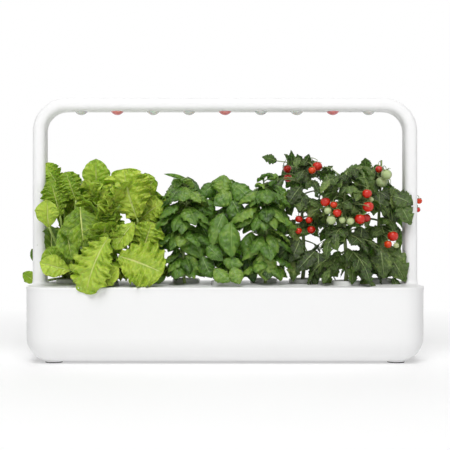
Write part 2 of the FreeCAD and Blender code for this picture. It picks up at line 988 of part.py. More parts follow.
def plant_cell(index):
    """Upright prism of the room that belongs to one plant: nearer to its pod than to any other.

    The plants of the left-hand tray leave the filling cap and the float behind them free to rise.
    """
    places = pod_places()
    here = Vector(*places[index], 0)
    half_x = leg_inner_x - plant_leg_gap
    half_y = tank_depth / 2 - plant_rim_gap
    keeps_off_cap = index < pods_per_tray
    back_y = strip_y - cap_radius - plant_rim_gap if keeps_off_cap else half_y
    low = soil_top
    polygon = [
        Vector(-half_x, -half_y, low),
        Vector(half_x, -half_y, low),
        Vector(half_x, back_y, low),
        Vector(-half_x, back_y, low),
    ]
    for other, place in enumerate(places):
        if other != index:
            away = Vector(*place, 0) - here
            away.normalize()
            middle = (Vector(*place, 0) + here) * 0.5 - away * (plant_gap / 2)
            polygon = clipped(polygon, middle, away)
    face = Part.Face(Part.makePolygon(polygon + polygon[:1]))
    return face.extrude(Vector(0, 0, arch_top))


def solid_of(faces):
    """Closed solid from flat faces, each a list of points."""
    sides = [Part.Face(Part.makePolygon(points + points[:1])) for points in faces]
    solid = Part.Solid(Part.Shell(sides))
    if solid.Volume < 0:
        solid.reverse()
    return solid


def leaf(root, tip, half_width):
    """Leaf as a flat-sided blade: six points round its edge and a ridge above and below."""
    along = tip - root
    across = along.cross(Vector(0, 0, 1))
    if across.Length < 1e-6:
        across = Vector(1, 0, 0)
    across.normalize()
    normal = across.cross(along)
    normal.normalize()
    shoulder = root + along * leaf_shoulder - normal * leaf_thickness
    broadest = root + along * leaf_broadest - normal * leaf_thickness
    shoulder_width = leaf_shoulder_width * half_width
    edge = [
        root,
        shoulder + across * shoulder_width,
        broadest + across * half_width,
        tip,
        broadest - across * half_width,
        shoulder - across * shoulder_width,
    ]
    upper = root + along / 2 + normal * leaf_thickness
    lower = root + along / 2 - normal * (2 * leaf_thickness)
    faces = []
    for index, here in enumerate(edge):
        following = edge[(index + 1) % len(edge)]
        faces.append([here, following, upper])
        faces.append([following, here, lower])
    return solid_of(faces)


def faceted_rod(x, y, low, high, low_radius, high_radius):
    """Upright stem with flat sides."""
    rings = []
    for height, radius in ((low, low_radius), (high, high_radius)):
        ring = []
        for side in range(stem_sides):
            angle = 2 * math.pi * side / stem_sides
            ring.append(Vector(x + radius * math.cos(angle), y + radius * math.sin(angle), height))
        rings.append(ring)
    lower, upper = rings
    faces = [lower[::-1], upper]
    for side in range(stem_sides):
        following = (side + 1) % stem_sides
        faces.append([lower[side], lower[following], upper[following], upper[side]])
    return solid_of(faces)


def faceted_ball(centre, radius):
    """Fruit as a ball with flat sides."""
    rings = []
    for latitude in ball_latitudes:
        level = math.radians(latitude)
        ring = []
        for side in range(stem_sides):
            angle = 2 * math.pi * side / stem_sides
            ring.append(
                centre
                + Vector(
                    radius * math.cos(level) * math.cos(angle),
                    radius * math.cos(level) * math.sin(angle),
                    radius * math.sin(level),
                )
            )
        rings.append(ring)
    top = centre + Vector(0, 0, radius)
    bottom = centre - Vector(0, 0, radius)
    faces = []
    for side in range(stem_sides):
        following = (side + 1) % stem_sides
        faces.append([bottom, rings[0][following], rings[0][side]])
        faces.append([rings[-1][side], rings[-1][following], top])
        for lower, upper in zip(rings, rings[1:]):
            faces.append([lower[side], lower[following], upper[following], upper[side]])
    return solid_of(faces)


def stalk(start, end):
    """Thin flat-sided stalk between two points."""
    along = end - start
    across = along.cross(Vector(0, 0, 1))
    across.normalize()
    up = across.cross(along)
    up.normalize()
    across = across * fruit_stalk
    up = up * fruit_stalk
    lower = [start + across + up, start - across + up, start - across - up, start + across - up]
    upper = [point + along for point in lower]
    faces = [lower[::-1], upper]
    for side in range(4):
        following = (side + 1) % 4
        faces.append([lower[side], lower[following], upper[following], upper[side]])
    return solid_of(faces)


def fruit_places(index, fruit):
    """Centre and radius of each fruit of a plant."""
    x, y = pod_places()[index]
    return [
        (Vector(x + across, y + behind, soil_top + height), radius)
        for across, behind, height, radius in fruit
    ]


def make_fruit(index, fruit):
    return [faceted_ball(centre, radius) for centre, radius in fruit_places(index, fruit)]


def make_plant(index, height, counts, tiers, stem_radius, fruit=()):
    """Stem and tiers of leaves, kept inside the plant's own cell, and a stalk to each fruit."""
    x, y = pod_places()[index]
    stem_top = soil_top + height * stem_share
    shapes = [faceted_rod(x, y, soil_top, stem_top, stem_radius, stem_radius / 2)]
    for tier, (root_share, tip_share, reach, half_width) in enumerate(tiers):
        for number in range(counts[tier]):
            angle = 2 * math.pi * (number + tier % 2 / 2) / counts[tier] + plant_turn * index
            outward = Vector(math.cos(angle), math.sin(angle), 0)
            root = Vector(x, y, soil_top + height * root_share)
            tip_height = max(soil_top + height * tip_share, collar_top + plant_deck_gap)
            tip = Vector(x, y, tip_height) + outward * reach
            shapes.append(leaf(root, tip, half_width))
    for centre, radius in fruit_places(index, fruit):
        axis = Vector(x, y, centre.z + stalk_rise)
        shapes.append(stalk(axis, centre))
    plant = shapes[0].multiFuse(shapes[1:])
    plant = plant.common(plant_cell(index))
    above_collar = block(
        x - 2 * pod_pitch,
        x + 2 * pod_pitch,
        y - tank_depth,
        y + tank_depth,
        collar_top + plant_deck_gap,
        arch_top,
    )
    foot = faceted_rod(x, y, soil_top, collar_top + 2 * plant_deck_gap, stem_radius, stem_radius)
    plant = fused([plant.common(above_collar), foot])
    if fruit:
        plant = plant.cut(Part.makeCompound(make_fruit(index, fruit)))
    return plant


def save_plant(kind, index, height, counts, tiers, stem_radius, fruit=()):
    plant = make_plant(index, height, counts, tiers, stem_radius, fruit)
    save(kind + "_" + str(index + 1), plant)


def main():
    os.makedirs("parts", exist_ok=True)
    save("tank", make_tank())
    save("feet", make_feet())
    save("deck", make_deck())
    save("fill_cap", make_fill_cap())
    save("float", make_float())
    save("float_guide", make_float_guide())
    save("bay_cover", make_bay_cover())
    save("bay_screws", make_bay_screws())
    save("control_board", make_control_board())
    save("dc_inlet", make_dc_inlet())
    save("timer_button", make_timer_button())
    save("base_cable", make_base_cable())
    for name, side in leg_sides():
        save("extension_" + name, make_extension(side))
        save("extension_plug_" + name, make_leg_plug(side, fairing_top))
        save("arch_plug_" + name, make_leg_plug(side, extension_top))
    save("socket_contacts", Part.makeCompound(contact_pairs([pin_level(fairing_top)])))
    save(
        "extension_contacts",
        Part.makeCompound(contact_pairs([spigot_pad_level(fairing_top), pin_level(extension_top)])),
    )
    save("arch_contacts", Part.makeCompound(contact_pairs([spigot_pad_level(extension_top)])))
    save("arch_tube", make_arch_tube())
    save("lens_white", make_lenses(red=False))
    save("lens_red", make_lenses(red=True))
    save("led_board", make_led_board())
    save("led_emitters", make_led_emitters())
    save("arch_cable", make_arch_cable())
    for index, name in enumerate(("left", "middle", "right")):
        save("tray_" + name, make_tray(index))
    for index, (x, y) in enumerate(pod_places()):
        save("pod_cup_" + str(index + 1), make_pod_cup(x, y))
        save("soil_plug_" + str(index + 1), make_soil_plug(x, y))
    for number in range(pods_per_tray):
        lettuce = number
        basil = number + pods_per_tray
        tomato = number + 2 * pods_per_tray
        height = lettuce_heights[number]
        counts = lettuce_leaf_counts
        save_plant("lettuce", lettuce, height, counts, lettuce_tiers, lettuce_stem_radius)
        height = basil_heights[number]
        save_plant("basil", basil, height, basil_leaf_counts, basil_tiers, basil_stem_radius)
        height = tomato_heights[number]
        counts = tomato_leaf_counts
        fruit = tomato_fruit[number]
        save_plant("tomato", tomato, height, counts, tomato_tiers, tomato_stem_radius, fruit)
        save("tomato_fruit_" + str(tomato + 1), Part.makeCompound(make_fruit(tomato, fruit)))


main()
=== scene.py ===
import json
import math

import bpy
import numpy as np
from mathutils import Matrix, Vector


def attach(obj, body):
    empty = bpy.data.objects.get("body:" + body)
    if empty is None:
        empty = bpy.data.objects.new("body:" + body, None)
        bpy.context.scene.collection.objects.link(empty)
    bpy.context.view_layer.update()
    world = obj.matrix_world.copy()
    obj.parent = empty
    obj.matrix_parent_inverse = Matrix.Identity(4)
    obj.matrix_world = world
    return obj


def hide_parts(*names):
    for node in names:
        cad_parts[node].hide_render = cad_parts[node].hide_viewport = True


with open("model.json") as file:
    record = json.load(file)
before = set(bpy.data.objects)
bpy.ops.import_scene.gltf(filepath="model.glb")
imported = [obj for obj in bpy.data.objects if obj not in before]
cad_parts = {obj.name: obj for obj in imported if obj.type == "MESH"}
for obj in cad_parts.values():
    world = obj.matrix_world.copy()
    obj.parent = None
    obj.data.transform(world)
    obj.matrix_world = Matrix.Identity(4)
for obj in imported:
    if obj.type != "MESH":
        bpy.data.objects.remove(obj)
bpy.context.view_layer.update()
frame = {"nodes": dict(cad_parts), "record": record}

# The photograph and the camera that took it
photo_middle = 225.0
photo_focal = 954.6
camera_away = 1500.0
camera_height = 207.7
camera_lens = 76.4
camera_sensor = 36.0

# Light, in metres and watts. The floor turns to plain white between the two reaches from the middle.
world_peak = 1.88
world_narrowness = 12.0
lamp_power = 23.5
lamp_place = (-0.1, -1.45, 1.85)
lamp_target = (0.0, 0.0, 0.2)
lamp_size = 1.3
floor_half = 40.0
floor_glow = 0.26
floor_shadow_reach = 0.42
floor_clear_reach = 1.0
sight_limit = 200.0

# Where each pod stands, in millimetres. The odd pods are in the row at the back.
pod_spacing = 62.0
pod_row = 28.0
soil_top = 119.5
pod_kinds = ["lettuce"] * 3 + ["basil"] * 3 + ["tomato"] * 3

millimetre = 0.001
toward_camera = np.array([0.0, -1.0, 0.0])
upward = np.array([0.0, 0.0, 1.0])
level = np.array([1.0, 1.0, 0.0])
full_turn = 2 * math.pi
tiny = 1e-9


def pod_middle(pod):
    """The middle of a pod's soil, in millimetres."""
    row = pod_row if pod % 2 else -pod_row
    return np.array([(pod - 5) * pod_spacing, row, soil_top])


def from_photo(across, down, depth):
    """The point seen at a place in the photograph, at a depth behind the middle, in millimetres."""
    scale = (camera_away + depth) / photo_focal
    return np.array([(across - photo_middle) * scale, depth, camera_height + (photo_middle - down) * scale])


def seen_at(points):
    """Where the camera sees points, across and down the photograph."""
    scale = photo_focal / (camera_away + points[..., 1])
    across = photo_middle + points[..., 0] * scale
    down = photo_middle - (points[..., 2] - camera_height) * scale
    return across, down


def new_object(name, data):
    """An object in the scene that shows a mesh, a lamp or a camera."""
    made = bpy.data.objects.new(name, data)
    bpy.context.scene.collection.objects.link(made)
    return made


# Materials


def color(red, green, blue):
    """A colour of 0 to 255 as the linear colour that a shader takes."""
    linear = []
    for part in (red, green, blue):
        share = part / 255
        linear.append(share / 12.92 if share <= 0.04045 else ((share + 0.055) / 1.055) ** 2.4)
    return (*linear, 1.0)


def node(tree, kind, inputs=None, **settings):
    """Adds a shader node. Each input is a plain value, or the output that feeds it."""
    made = tree.nodes.new("ShaderNode" + kind)
    for name, value in settings.items():
        setattr(made, name, value)
    for key, value in (inputs or {}).items():
        if isinstance(value, bpy.types.NodeSocket):
            tree.links.new(value, made.inputs[key])
        else:
            made.inputs[key].default_value = value
    return made


def mixed(tree, share, first, second):
    """A colour between two colours."""
    return node(tree, "Mix", {0: share, 6: first, 7: second}, data_type="RGBA").outputs[2]


def math_node(tree, operation, first, second=0.0):
    """What an operation on two values gives."""
    return node(tree, "Math", {0: first, 1: second}, operation=operation).outputs[0]


def between(tree, value, low, high, start=0.0, end=1.0):
    """The value spread from low..high to start..end, and kept within it."""
    return node(tree, "MapRange", {0: value, 1: low, 2: high, 3: start, 4: end}).outputs[0]


def object_place(tree):
    """Where a point of the surface is, in its object's metres."""
    return node(tree, "TexCoord").outputs["Object"]


def noise(tree, scale, detail=3.0, coordinates=None):
    """Soft blotches from 0 to 1, about as many to the metre as scale says."""
    if coordinates is None:
        coordinates = object_place(tree)
    return node(tree, "TexNoise", {"Vector": coordinates, "Scale": scale, "Detail": detail}).outputs[0]


def bump(tree, height, strength, distance):
    """The slope of a surface that height swells by up to distance, in metres."""
    inputs = {"Height": height, "Strength": strength, "Distance": distance}
    return node(tree, "Bump", inputs).outputs[0]


def darkened(shade, share):
    """A colour at a share of its brightness."""
    return tuple(share * part for part in shade[:3]) + (1.0,)


def new_material(name, **shader_values):
    """A material, its nodes and its shader. An underscore stands for the space in an input's name."""
    material = bpy.data.materials.new(name)
    material.use_nodes = True
    tree = material.node_tree
    shader = tree.nodes["Principled BSDF"]
    for key, value in shader_values.items():
        shader.inputs[key.replace("_", " ")].default_value = value
    return material, tree, shader


def feed(shader, **outputs):
    """Drives each named input of the shader by a node's output."""
    for key, output in outputs.items():
        shader.id_data.links.new(output, shader.inputs[key.replace("_", " ")])


def moulded_plastic(name, shade, roughness, coat=0.0):
    """Moulded plastic: a fine grain, and a gloss and a colour that drift a little."""
    material, tree, shader = new_material(name, IOR=1.4, Coat_Weight=coat)
    drift = between(tree, noise(tree, scale=3.0, detail=1.0), 0.2, 0.8)
    gloss = between(tree, noise(tree, scale=40.0), 0.3, 0.7, roughness - 0.04, roughness + 0.04)
    grain = bump(tree, noise(tree, scale=1400.0, detail=2.0), strength=0.05, distance=0.0001)
    tone = mixed(tree, drift, darkened(shade, 0.985), shade)
    feed(shader, Base_Color=tone, Roughness=gloss, Normal=grain)
    return material


def rubber():
    """Dull black rubber with a rough grain."""
    material, tree, shader = new_material("rubber_black", Roughness=0.75)
    shade = mixed(tree, noise(tree, scale=300.0), color(28, 28, 29), color(52, 52, 54))
    grain = bump(tree, noise(tree, scale=900.0), strength=0.3, distance=0.0003)
    feed(shader, Base_Color=shade, Normal=grain)
    return material


def metal(name, shade, roughness):
    """Bright metal with a slightly uneven gloss."""
    material, tree, shader = new_material(name, Metallic=1.0)
    tone = mixed(tree, noise(tree, scale=260.0), darkened(shade, 0.8), shade)
    gloss = between(tree, noise(tree, scale=700.0), 0.3, 0.7, roughness * 0.7, roughness * 1.3)
    feed(shader, Base_Color=tone, Roughness=gloss)
    return material


def lens(name, shade, painted_rim_shade):
    """A frosted lens with painted shade towards its rim, where it is seen edge on."""
    material, tree, shader = new_material(
        name, Roughness=0.22, IOR=1.49, Coat_Weight=0.5, Subsurface_Weight=0.2, Subsurface_Scale=0.002
    )
    edge = node(tree, "LayerWeight", {"Blend": 0.35}).outputs["Facing"]
    speckle = between(tree, noise(tree, scale=900.0), 0.3, 0.7, 0.9, 1.0)
    # Painted shade: the colour darkens towards the rim as the lens turns edge on
    tone = mixed(tree, math_node(tree, "MULTIPLY", edge, speckle), shade, painted_rim_shade)
    frosting = bump(tree, noise(tree, scale=1500.0), strength=0.15, distance=0.0002)
    feed(shader, Base_Color=tone, Normal=frosting)
    return material


def circuit_board(name, shade, track_shade):
    """A lacquered board with rows of thin tracks."""
    material, tree, shader = new_material(name, Roughness=0.35, Coat_Weight=0.4)
    grid = {"Vector": object_place(tree), "Scale": 160.0, "Mortar Size": 0.03}
    tracks = node(tree, "TexBrick", grid).outputs["Fac"]
    tone = mixed(tree, math_node(tree, "MULTIPLY", tracks, 0.7), shade, track_shade)
    feed(shader, Base_Color=tone, Normal=bump(tree, tracks, strength=0.3, distance=0.0002))
    return material


def peat():
    """Dark fibrous soil with paler crumbs."""
    material, tree, shader = new_material("soil_peat", Roughness=0.95)
    crumbs = node(tree, "TexVoronoi", {"Vector": object_place(tree), "Scale": 420.0}).outputs["Distance"]
    dark = mixed(tree, noise(tree, scale=180.0), color(24, 17, 12), color(58, 42, 30))
    shade = mixed(tree, between(tree, crumbs, 0.35, 0.6), dark, color(96, 76, 55))
    height = math_node(tree, "ADD", crumbs, noise(tree, scale=600.0, detail=6.0))
    feed(shader, Base_Color=shade, Normal=bump(tree, height, strength=1.0, distance=0.001))
    return material


def leaf_veins(tree, side_veins, vein_lean):
    """One on a leaf's midrib, less on its side veins and nought between them."""
    side_vein_share, vein_wobble, vein_width = 0.4, 0.35, 0.07
    midrib_at_base, midrib_at_tip = 0.045, 0.008
    place = node(tree, "SeparateXYZ", {0: node(tree, "UVMap", uv_map="blade").outputs[0]})
    across = math_node(tree, "ABSOLUTE", math_node(tree, "SUBTRACT", place.outputs[0], 0.5))
    along = place.outputs[1]
    run = math_node(tree, "MULTIPLY", along, side_veins)
    lean = math_node(tree, "MULTIPLY", across, vein_lean)
    phase = math_node(tree, "SUBTRACT", run, lean)
    wobble = math_node(tree, "MULTIPLY", noise(tree, scale=130.0, detail=2.0), vein_wobble)
    wave = math_node(tree, "PINGPONG", math_node(tree, "ADD", phase, wobble), 0.5)
    side = between(tree, wave, 0.0, vein_width, 1.0, 0.0)
    midrib_width = between(tree, along, 0.0, 1.0, midrib_at_base, midrib_at_tip)
    midrib = between(tree, math_node(tree, "DIVIDE", across, midrib_width), 0.5, 1.0, 1.0, 0.0)
    return math_node(tree, "MAXIMUM", midrib, math_node(tree, "MULTIPLY", side, side_vein_share))


def leaf_material(name, dark, middle, light, rib, side_veins, vein_lean, gloss, cell_scale, cell_height):
    """A leaf: its tone, its midrib and side veins, and the quilting between them, with painted light on the
    bulges and painted shade in the creases.
    """
    patch_shift, painted_quilt_shade, vein_sink = 0.22, 0.18, 0.5
    material, tree, shader = new_material(
        name, IOR=1.42, Subsurface_Weight=0.25, Subsurface_Scale=0.003, Subsurface_Radius=(0.5, 1.0, 0.2)
    )
    patches = noise(tree, scale=60.0, detail=4.0)
    cell_inputs = {"Vector": object_place(tree), "Scale": cell_scale}
    cells = node(tree, "TexVoronoi", cell_inputs, feature="SMOOTH_F1")
    quilt = math_node(tree, "SUBTRACT", 0.5, cells.outputs["Distance"])
    shift = between(tree, patches, 0.3, 0.7, -patch_shift, patch_shift)
    # Painted light and shade: the tone is lighter on the quilting's bulges and darker in the creases
    # between them
    shift = math_node(tree, "ADD", shift, between(tree, quilt, -0.2, 0.4, -painted_quilt_shade, painted_quilt_shade))
    tone = node(tree, "Attribute", attribute_name="tone").outputs["Fac"]
    amount = math_node(tree, "ADD", tone, shift)
    lower = mixed(tree, between(tree, amount, 0.0, 0.5), dark, middle)
    blade = mixed(tree, between(tree, amount, 0.5, 1.0), lower, light)
    veins = leaf_veins(tree, side_veins, vein_lean)
    height = math_node(tree, "SUBTRACT", quilt, math_node(tree, "MULTIPLY", veins, vein_sink))
    feed(
        shader,
        Base_Color=mixed(tree, veins, blade, rib),
        Normal=bump(tree, height, strength=1.0, distance=cell_height),
        Roughness=between(tree, patches, 0.3, 0.7, gloss, gloss + 0.15),
    )
    return material


def stem_material(name, shade, darker):
    """A stem or stalk with streaks along it."""
    material, tree, shader = new_material(name, Roughness=0.45)
    drawn_out = {"Vector": object_place(tree), "Scale": (1.0, 1.0, 0.15)}
    stretched = node(tree, "Mapping", drawn_out).outputs[0]
    streaks = noise(tree, scale=500.0, detail=3.0, coordinates=stretched)
    tone = mixed(tree, between(tree, streaks, 0.3, 0.7), darker, shade)
    feed(shader, Base_Color=tone, Normal=bump(tree, streaks, strength=0.4, distance=0.0004))
    return material


def fruit_skin(name, shade, other):
    """Glossy skin, paler or redder in soft patches."""
    material, tree, shader = new_material(
        name, Roughness=0.24, Coat_Weight=0.3, IOR=1.4, Subsurface_Weight=0.12, Subsurface_Scale=0.002,
        Subsurface_Radius=(1.0, 0.4, 0.2)
    )
    tone = mixed(tree, between(tree, noise(tree, scale=90.0), 0.35, 0.65), shade, other)
    dimples = bump(tree, noise(tree, scale=700.0), strength=0.05, distance=0.0002)
    feed(shader, Base_Color=tone, Normal=dimples)
    return material


# Growing shapes

# Numbers of a plant's materials, and of the fruit's materials, which its ripeness chooses
blade_slot, stalk_slot = range(2)
red, orange, green, dark_red, fruit_stalk_slot = range(5)

# How much lighter a leaf is below, and how light a stalk is, from dark at 0 to light at 1
paler_underside = 0.22
plain_tone = 0.5

# A stalk's form, and a direction that no stalk follows
stalk_sides = 7
stalk_points = 8
stalk_end_radius = 1e-3
crossing_way = np.array([0.31, 0.87, 0.38])


class Growth:
    """Gathers grids of points, in millimetres, that become one mesh."""

    def __init__(self):
        self.points = []
        self.faces = []
        self.places = []
        self.tones = []
        self.slots = []
        self.count = 0

    def add(self, points, faces, places, tone, slot):
        """Takes in one shape: its places on the leaf, how light it is, and its material's number."""
        self.points.append(points)
        self.faces.append(np.asarray(faces) + self.count)
        self.places.append(places)
        self.tones.append(np.broadcast_to(tone, len(points)))
        self.slots.append(np.full(len(faces), slot))
        self.count += len(points)

    def piece(self, name, materials):
        """The object that all the shapes make."""
        points = np.concatenate(self.points) * millimetre
        faces = np.concatenate(self.faces)
        mesh = bpy.data.meshes.new(name)
        mesh.from_pydata(points.tolist(), [], faces.tolist())
        mesh.polygons.foreach_set("material_index", np.concatenate(self.slots).astype(np.int32))
        mesh.polygons.foreach_set("use_smooth", np.ones(len(faces), bool))
        places = np.concatenate(self.places)
        layer = mesh.uv_layers.new(name="blade")
        layer.data.foreach_set("uv", places[faces.ravel()].ravel())
        tones = mesh.attributes.new("tone", "FLOAT", "POINT")
        tones.data.foreach_set("value", np.concatenate(self.tones).astype(np.float32))
        for material in materials:
            mesh.materials.append(material)
        mesh.update()
        return new_object(name, mesh)


def grid_faces(rows, columns, closed=False):
    """The quads of a grid of points. A closed grid joins its last column to its first."""
    row = np.arange(rows - 1)[:, None]
    column = np.arange(columns if closed else columns - 1)[None, :]
    after = (column + 1) % columns
    corners = [row * columns + column, row * columns + after]
    corners += [(row + 1) * columns + after, (row + 1) * columns + column]
    return np.stack(corners, axis=-1).reshape(-1, 4)


def unit(vectors):
    """The vectors at length one."""
    length = np.linalg.norm(vectors, axis=-1, keepdims=True)
    return vectors / np.maximum(length, tiny)


def curve_points(start, bend, end, share):
    """Points along a curve that leaves start towards bend and comes to end from it."""
    share = np.asarray(share)[:, None]
    return (1 - share) ** 2 * start + 2 * share * (1 - share) * bend + share**2 * end


def add_sheet(growth, grid, thickness, tone, slot, places):
    """A closed thin sheet whose upper face is the grid."""
    rows, columns = grid.shape[:2]
    along = np.gradient(grid, axis=0)
    across = np.gradient(grid, axis=1)
    normal = unit(np.cross(across, along))
    top = grid.reshape(-1, 3)
    under = (grid - normal * thickness).reshape(-1, 3)
    faces = grid_faces(rows, columns)
    number = np.arange(rows * columns).reshape(rows, columns)
    rim = np.concatenate([number[0, :-1], number[:-1, -1], number[-1, :0:-1], number[:0:-1, 0]])
    after = np.roll(rim, -1)
    offset = rows * columns
    rim_faces = np.stack([after, rim, rim + offset, after + offset], axis=-1)
    all_faces = np.concatenate([faces, faces[:, ::-1] + offset, rim_faces])
    tones = np.repeat([tone, tone + paler_underside], rows * columns)
    growth.add(np.concatenate([top, under]), all_faces, np.concatenate([places, places]), tones, slot)


def add_tube(growth, path, radii, tone, slot, sides=stalk_sides):
    """A round stalk along a path, closed at both ends by shrinking to nothing."""
    path = np.asarray(path, float)
    radii = np.asarray(radii, float) * np.ones(len(path))
    path = np.concatenate([path[:1], path, path[-1:]])
    radii = np.concatenate([[stalk_end_radius], radii, [stalk_end_radius]])
    along = unit(np.gradient(path, axis=0) + tiny)
    beside = unit(np.cross(along, crossing_way))
    other = np.cross(along, beside)
    turn = np.linspace(0, full_turn, sides, endpoint=False)[None, :, None]
    ring = np.cos(turn) * beside[:, None, :] + np.sin(turn) * other[:, None, :]
    points = path[:, None, :] + ring * radii[:, None, None]
    places = np.zeros((len(path) * sides, 2))
    growth.add(points.reshape(-1, 3), grid_faces(len(path), sides, True), places, tone, slot)


# Leaves

# The shapes of the blades. Ruffles, puckers, teeth and lobes are shares of a blade's width.
blade_kinds = {
    "lettuce": dict(rows=60, columns=27, skew=1.35, fullness=0.5, stalk_share=0.22, fold=0.3,
                    edge_lift=-0.3, ruffle=0.13, edge_crawl=0.08, waves=6.5, pucker=0.045, cells=10.0,
                    teeth=0, lobes=5.0, lobe_depth=0.05, thickness=0.55),
    "smooth": dict(rows=36, columns=23, skew=1.15, fullness=0.72, stalk_share=0.2, fold=0.3,
                   edge_lift=-0.4, ruffle=0.04, edge_crawl=0.3, waves=3.0, pucker=0.028, cells=8.0,
                   teeth=0, lobes=3.0, lobe_depth=0.03, thickness=0.55),
    "basil": dict(rows=28, columns=17, skew=0.85, fullness=0.82, stalk_share=0.03, fold=0.38,
                  edge_lift=-1.7, ruffle=0.025, edge_crawl=0.3, waves=3.0, pucker=0.05, cells=5.5,
                  teeth=0, lobes=2.0, lobe_depth=0.02, thickness=0.4),
    "tomato": dict(rows=29, columns=11, skew=0.78, fullness=0.85, stalk_share=0.04, fold=0.3,
                   edge_lift=-0.7, ruffle=0.035, edge_crawl=0.3, waves=3.5, pucker=0.035, cells=5.0,
                   teeth=5, tooth_depth=0.28, lobes=2.0, lobe_depth=0.04, thickness=0.35),
}

# The waves along a leaf's edge: how many for each of its kind's, and how high beside them
edge_waves = ((1, 1.0), (1.9, 0.5), (3.1, 0.3))
fold_spread = 0.12

# Teeth stand closer at the base, and each is cut in more and more towards the tip
crowding_at_base = 1.15
crowding_loss = 0.3
tooth_curve = 1.5

# The quilting between a leaf's veins, and the dents over it
quilt_slant = 0.25
quilts_across = 7.0
dents_along = 23
dents_across = 11
dent_share = 0.5


def outline(shape, along, phase):
    """Half the blade's width, as a share of its widest, at each place along it."""
    swell = np.sin(math.pi * along ** shape["skew"]) ** shape["fullness"]
    half = np.maximum(swell, shape["stalk_share"] * (1 - along))
    if shape["teeth"]:
        tooth = (along * shape["teeth"] * (crowding_at_base - crowding_loss * along)) % 1.0
        half = half * (1 - shape["tooth_depth"] * tooth**tooth_curve)
    return half * (1 + shape["lobe_depth"] * np.sin(full_turn * shape["lobes"] * along + phase))


def blade_points(kind, base, tip, width, facing, bulge, chance, sway=0.0, detail=1.0):
    """The upper side of a leaf that bulges towards facing, and each point's place on it."""
    shape = blade_kinds[kind]
    length = np.linalg.norm(tip - base)
    facing = unit(facing)
    side_way = unit(np.cross(tip - base, facing))
    bend = (base + tip) / 2 + facing * bulge * length + side_way * sway * length
    along = np.linspace(0, 1, round(shape["rows"] * detail))
    across = np.linspace(-1, 1, 2 * round(shape["columns"] * detail / 2) + 1)[None, :]
    spine = curve_points(base, bend, tip, along)
    ahead = unit(np.gradient(spine, axis=0))
    side = unit(np.cross(ahead, facing))
    normal = np.cross(side, ahead)
    edges = [outline(shape, along, phase) * width / 2 for phase in chance.uniform(0, full_turn, 2)]
    along = along[:, None]
    half = np.where(across < 0, edges[0][:, None], edges[1][:, None])
    reach = np.abs(across)
    tilt = shape["fold"] + shape["edge_lift"] * reach * 0.5 + chance.uniform(-fold_spread, fold_spread)
    out = half * reach * np.cos(tilt) * np.sign(across)
    lift = half * reach * np.sin(tilt)
    grow = np.sin(math.pi * along) ** 0.5
    for number, share in edge_waves:
        turn = chance.uniform(0, full_turn, 2)
        angle = full_turn * shape["waves"] * number * along + np.where(across < 0, turn[0], turn[1])
        amount = shape["ruffle"] * share * width * reach**2 * grow
        lift = lift + amount * np.sin(angle)
        out = out + shape["edge_crawl"] * amount * np.cos(angle) * np.sign(across)
    turn = chance.uniform(0, full_turn, 3)
    quilt = np.sin(full_turn * shape["cells"] * (along - quilt_slant * reach) + turn[0])
    quilt = quilt * np.sin(quilts_across * reach + turn[1])
    quilt = quilt + dent_share * np.sin(dents_along * along + dents_across * across + turn[2])
    lift = lift + shape["pucker"] * width * quilt * np.minimum(reach * 3, 1) * grow
    points = spine[:, None, :] + side[:, None, :] * out[..., None] + normal[:, None, :] * lift[..., None]
    places = np.stack(np.broadcast_arrays(0.5 + 0.5 * across, along), axis=-1)
    return points, places.reshape(-1, 2)


def add_leaf(growth, kind, points, places, tone, slot=blade_slot):
    """A thin closed leaf from its upper side, kept inside the object's room at the front."""
    points[..., 1] = np.maximum(points[..., 1], -front_limit)
    add_sheet(growth, points, blade_kinds[kind]["thickness"], tone, slot, places)


def hides_fruit(points):
    """Whether any of the points stands before a tomato, as the camera sees it."""
    across, down = seen_at(points)
    for pod, fruits in fruit_places.items():
        for right, behind, above, radius, _ in fruits:
            middle = pod_middle(pod) + np.array([right, behind, above])
            middle_across, middle_down = seen_at(middle)
            seen_radius = radius * photo_focal / (camera_away + middle[1])
            apart = np.hypot(across - middle_across, down - middle_down)
            if np.any((apart < seen_radius) & (points[..., 1] < middle[1] + radius)):
                return True
    return False


def above_crown(points):
    """How far points rise above the top edge of the plants in the photograph, in millimetres."""
    across, down = seen_at(points)
    above = np.max(np.interp(across, *np.transpose(photo_crown)) - down)
    return max(above, 0.0) * camera_away / photo_focal


def shift_for_view(points, kind, deepest):
    """How a leaf moves to stay under the plants' crown and behind the fruit, or None where it can't."""
    drop = above_crown(points)
    if drop > deepest:
        return None
    shift = -upward * drop
    if kind != "tomato":
        return shift
    for backward in np.arange(0.0, deepest, step_back):
        moved = shift - toward_camera * backward
        if not hides_fruit(points + moved):
            return moved if np.max(points[..., 1]) + backward < room_front else None
    return None


def add_stalk(growth, start, end, radii, tone, arch):
    """A leaf stalk from the plant's stem out to a blade, with its radii at both ends."""
    start, end = np.asarray(start, float), np.asarray(end, float)
    reach = np.linalg.norm(end - start)
    bend = (start + end) / 2 + upward * arch * reach
    path = curve_points(start, bend, end, np.linspace(0, 1, stalk_points))
    add_tube(growth, path, np.linspace(*radii, stalk_points), tone, stalk_slot)


